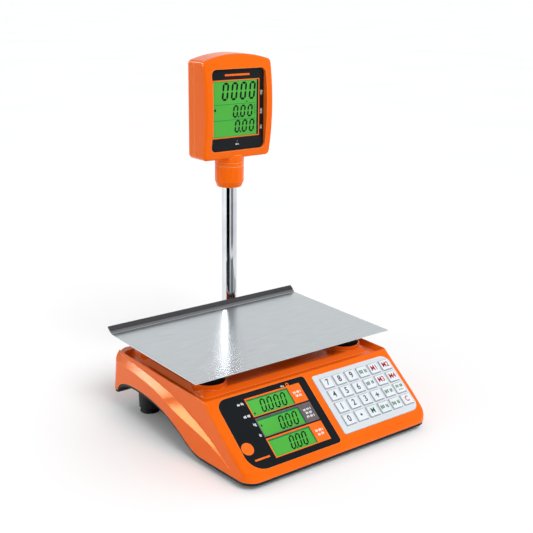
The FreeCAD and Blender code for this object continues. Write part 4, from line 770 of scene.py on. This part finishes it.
def card(name, place, aim, width, height, dark, light):
    """A card that only reflections see."""
    mesh = bpy.data.meshes.new(name)
    half = width / 2
    mesh.from_pydata([(-half, 0, 0), (half, 0, 0), (half, 0, height), (-half, 0, height)], [], [(0, 1, 2, 3)])
    finish = Finish(name, Specular_IOR_Level=0.0)
    finish.colour(finish.noise(3.0), (0.3, dark), (0.7, light))
    finish.drive("Roughness", finish.noise(5.0), 0.85, 0.95)
    mesh.materials.append(finish.done())
    thing = bpy.data.objects.new(name, mesh)
    bpy.context.scene.collection.objects.link(thing)
    thing.location = place
    across = Vector(aim) - Vector(place)
    thing.rotation_euler = (0, 0, math.atan2(across.y, across.x) + math.pi / 2)
    thing.visible_camera = thing.visible_diffuse = thing.visible_shadow = False


def studio():
    """A pale surround that is brightest at the horizon, even light from above and soft reflections."""
    world = bpy.data.worlds.new("studio")
    world.use_nodes = True
    tree = world.node_tree
    tree.nodes.clear()
    output = tree.nodes.new("ShaderNodeOutputWorld")
    back = tree.nodes.new("ShaderNodeBackground")
    place = tree.nodes.new("ShaderNodeTexCoord")
    split = tree.nodes.new("ShaderNodeSeparateXYZ")
    ramp = tree.nodes.new("ShaderNodeValToRGB")
    ramp.color_ramp.elements.new(0.5)
    for element, (position, tone) in zip(ramp.color_ramp.elements, ((0.0, 0.92), (0.5, 0.86), (0.85, 0.34))):
        element.position = position
        element.color = (tone, tone * 1.01, tone * 1.02, 1.0)
    tree.links.new(place.outputs["Generated"], split.inputs["Vector"])
    tree.links.new(split.outputs["Z"], ramp.inputs["Fac"])
    tree.links.new(ramp.outputs["Color"], back.inputs["Color"])
    back.inputs["Strength"].default_value = 1.0
    tree.links.new(back.outputs["Background"], output.inputs["Surface"])
    bpy.context.scene.world = world
    sun("key_sun", (0.0, 0.78, -0.95), 35.0, 1.75)
    sun("fill_sun", (-0.9, 0.2, -1.0), 60.0, 0.4)
    soft_light("flank_box", (-1.85, 0.8, 0.85), (-0.16, -0.06, 0.05), 1.1, 0.5, 52, True)
    soft_light("crest_box", (-0.94, 1.34, 1.4), (-0.16, 0.08, 0.08), 0.9, 0.5, 36, True)
    soft_light("crown_box", (-0.9, -0.4, 1.9), (0, 0, 0.2), 0.7, 0.7, 9, True)
    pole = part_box("pole")
    foot = Vector(((pole[0].x + pole[1].x) / 2, (pole[0].y + pole[1].y) / 2, 0.0))
    for name, turn, reach, width, dark, light in (("card_black", -54.0, 0.6, 0.55, "060606", "0A0A0A"),
                                                  ("card_grey", 8.0, 0.7, 0.5, "9A9C9E", "A2A4A6")):
        way = Vector((math.sin(math.radians(turn)), -math.cos(math.radians(turn)), 0.0))
        card(name, foot + way * reach, foot, width, 0.9, dark, light)
    bpy.context.scene.view_settings.view_transform = "Standard"
    bpy.context.scene.view_settings.look = "None"


def camera():
    """The camera at the photograph's height and angle."""
    data = bpy.data.cameras.new("camera")
    data.lens = 64.86
    data.sensor_width = 36.0
    data.clip_start, data.clip_end = 0.05, 200.0
    thing = bpy.data.objects.new("camera", data)
    bpy.context.scene.collection.objects.link(thing)
    turn, rise, roll = (math.radians(a) for a in (-37.53, 16.74, 0.68))
    back = Vector((math.sin(turn) * math.cos(rise), -math.cos(turn) * math.cos(rise), math.sin(rise)))
    across = Vector((math.cos(turn), math.sin(turn), 0))
    up = back.cross(across)
    right = across * math.cos(roll) + up * math.sin(roll)
    top = up * math.cos(roll) - across * math.sin(roll)
    pose = Matrix((right, top, back)).transposed().to_4x4()
    pose.translation = Vector((-0.7644, -1.0065, 0.5950))
    thing.matrix_world = pose
    bpy.context.scene.camera = thing


finish_nodes()
console_display()
key_prints()
head_display()
floor()
studio()
camera()
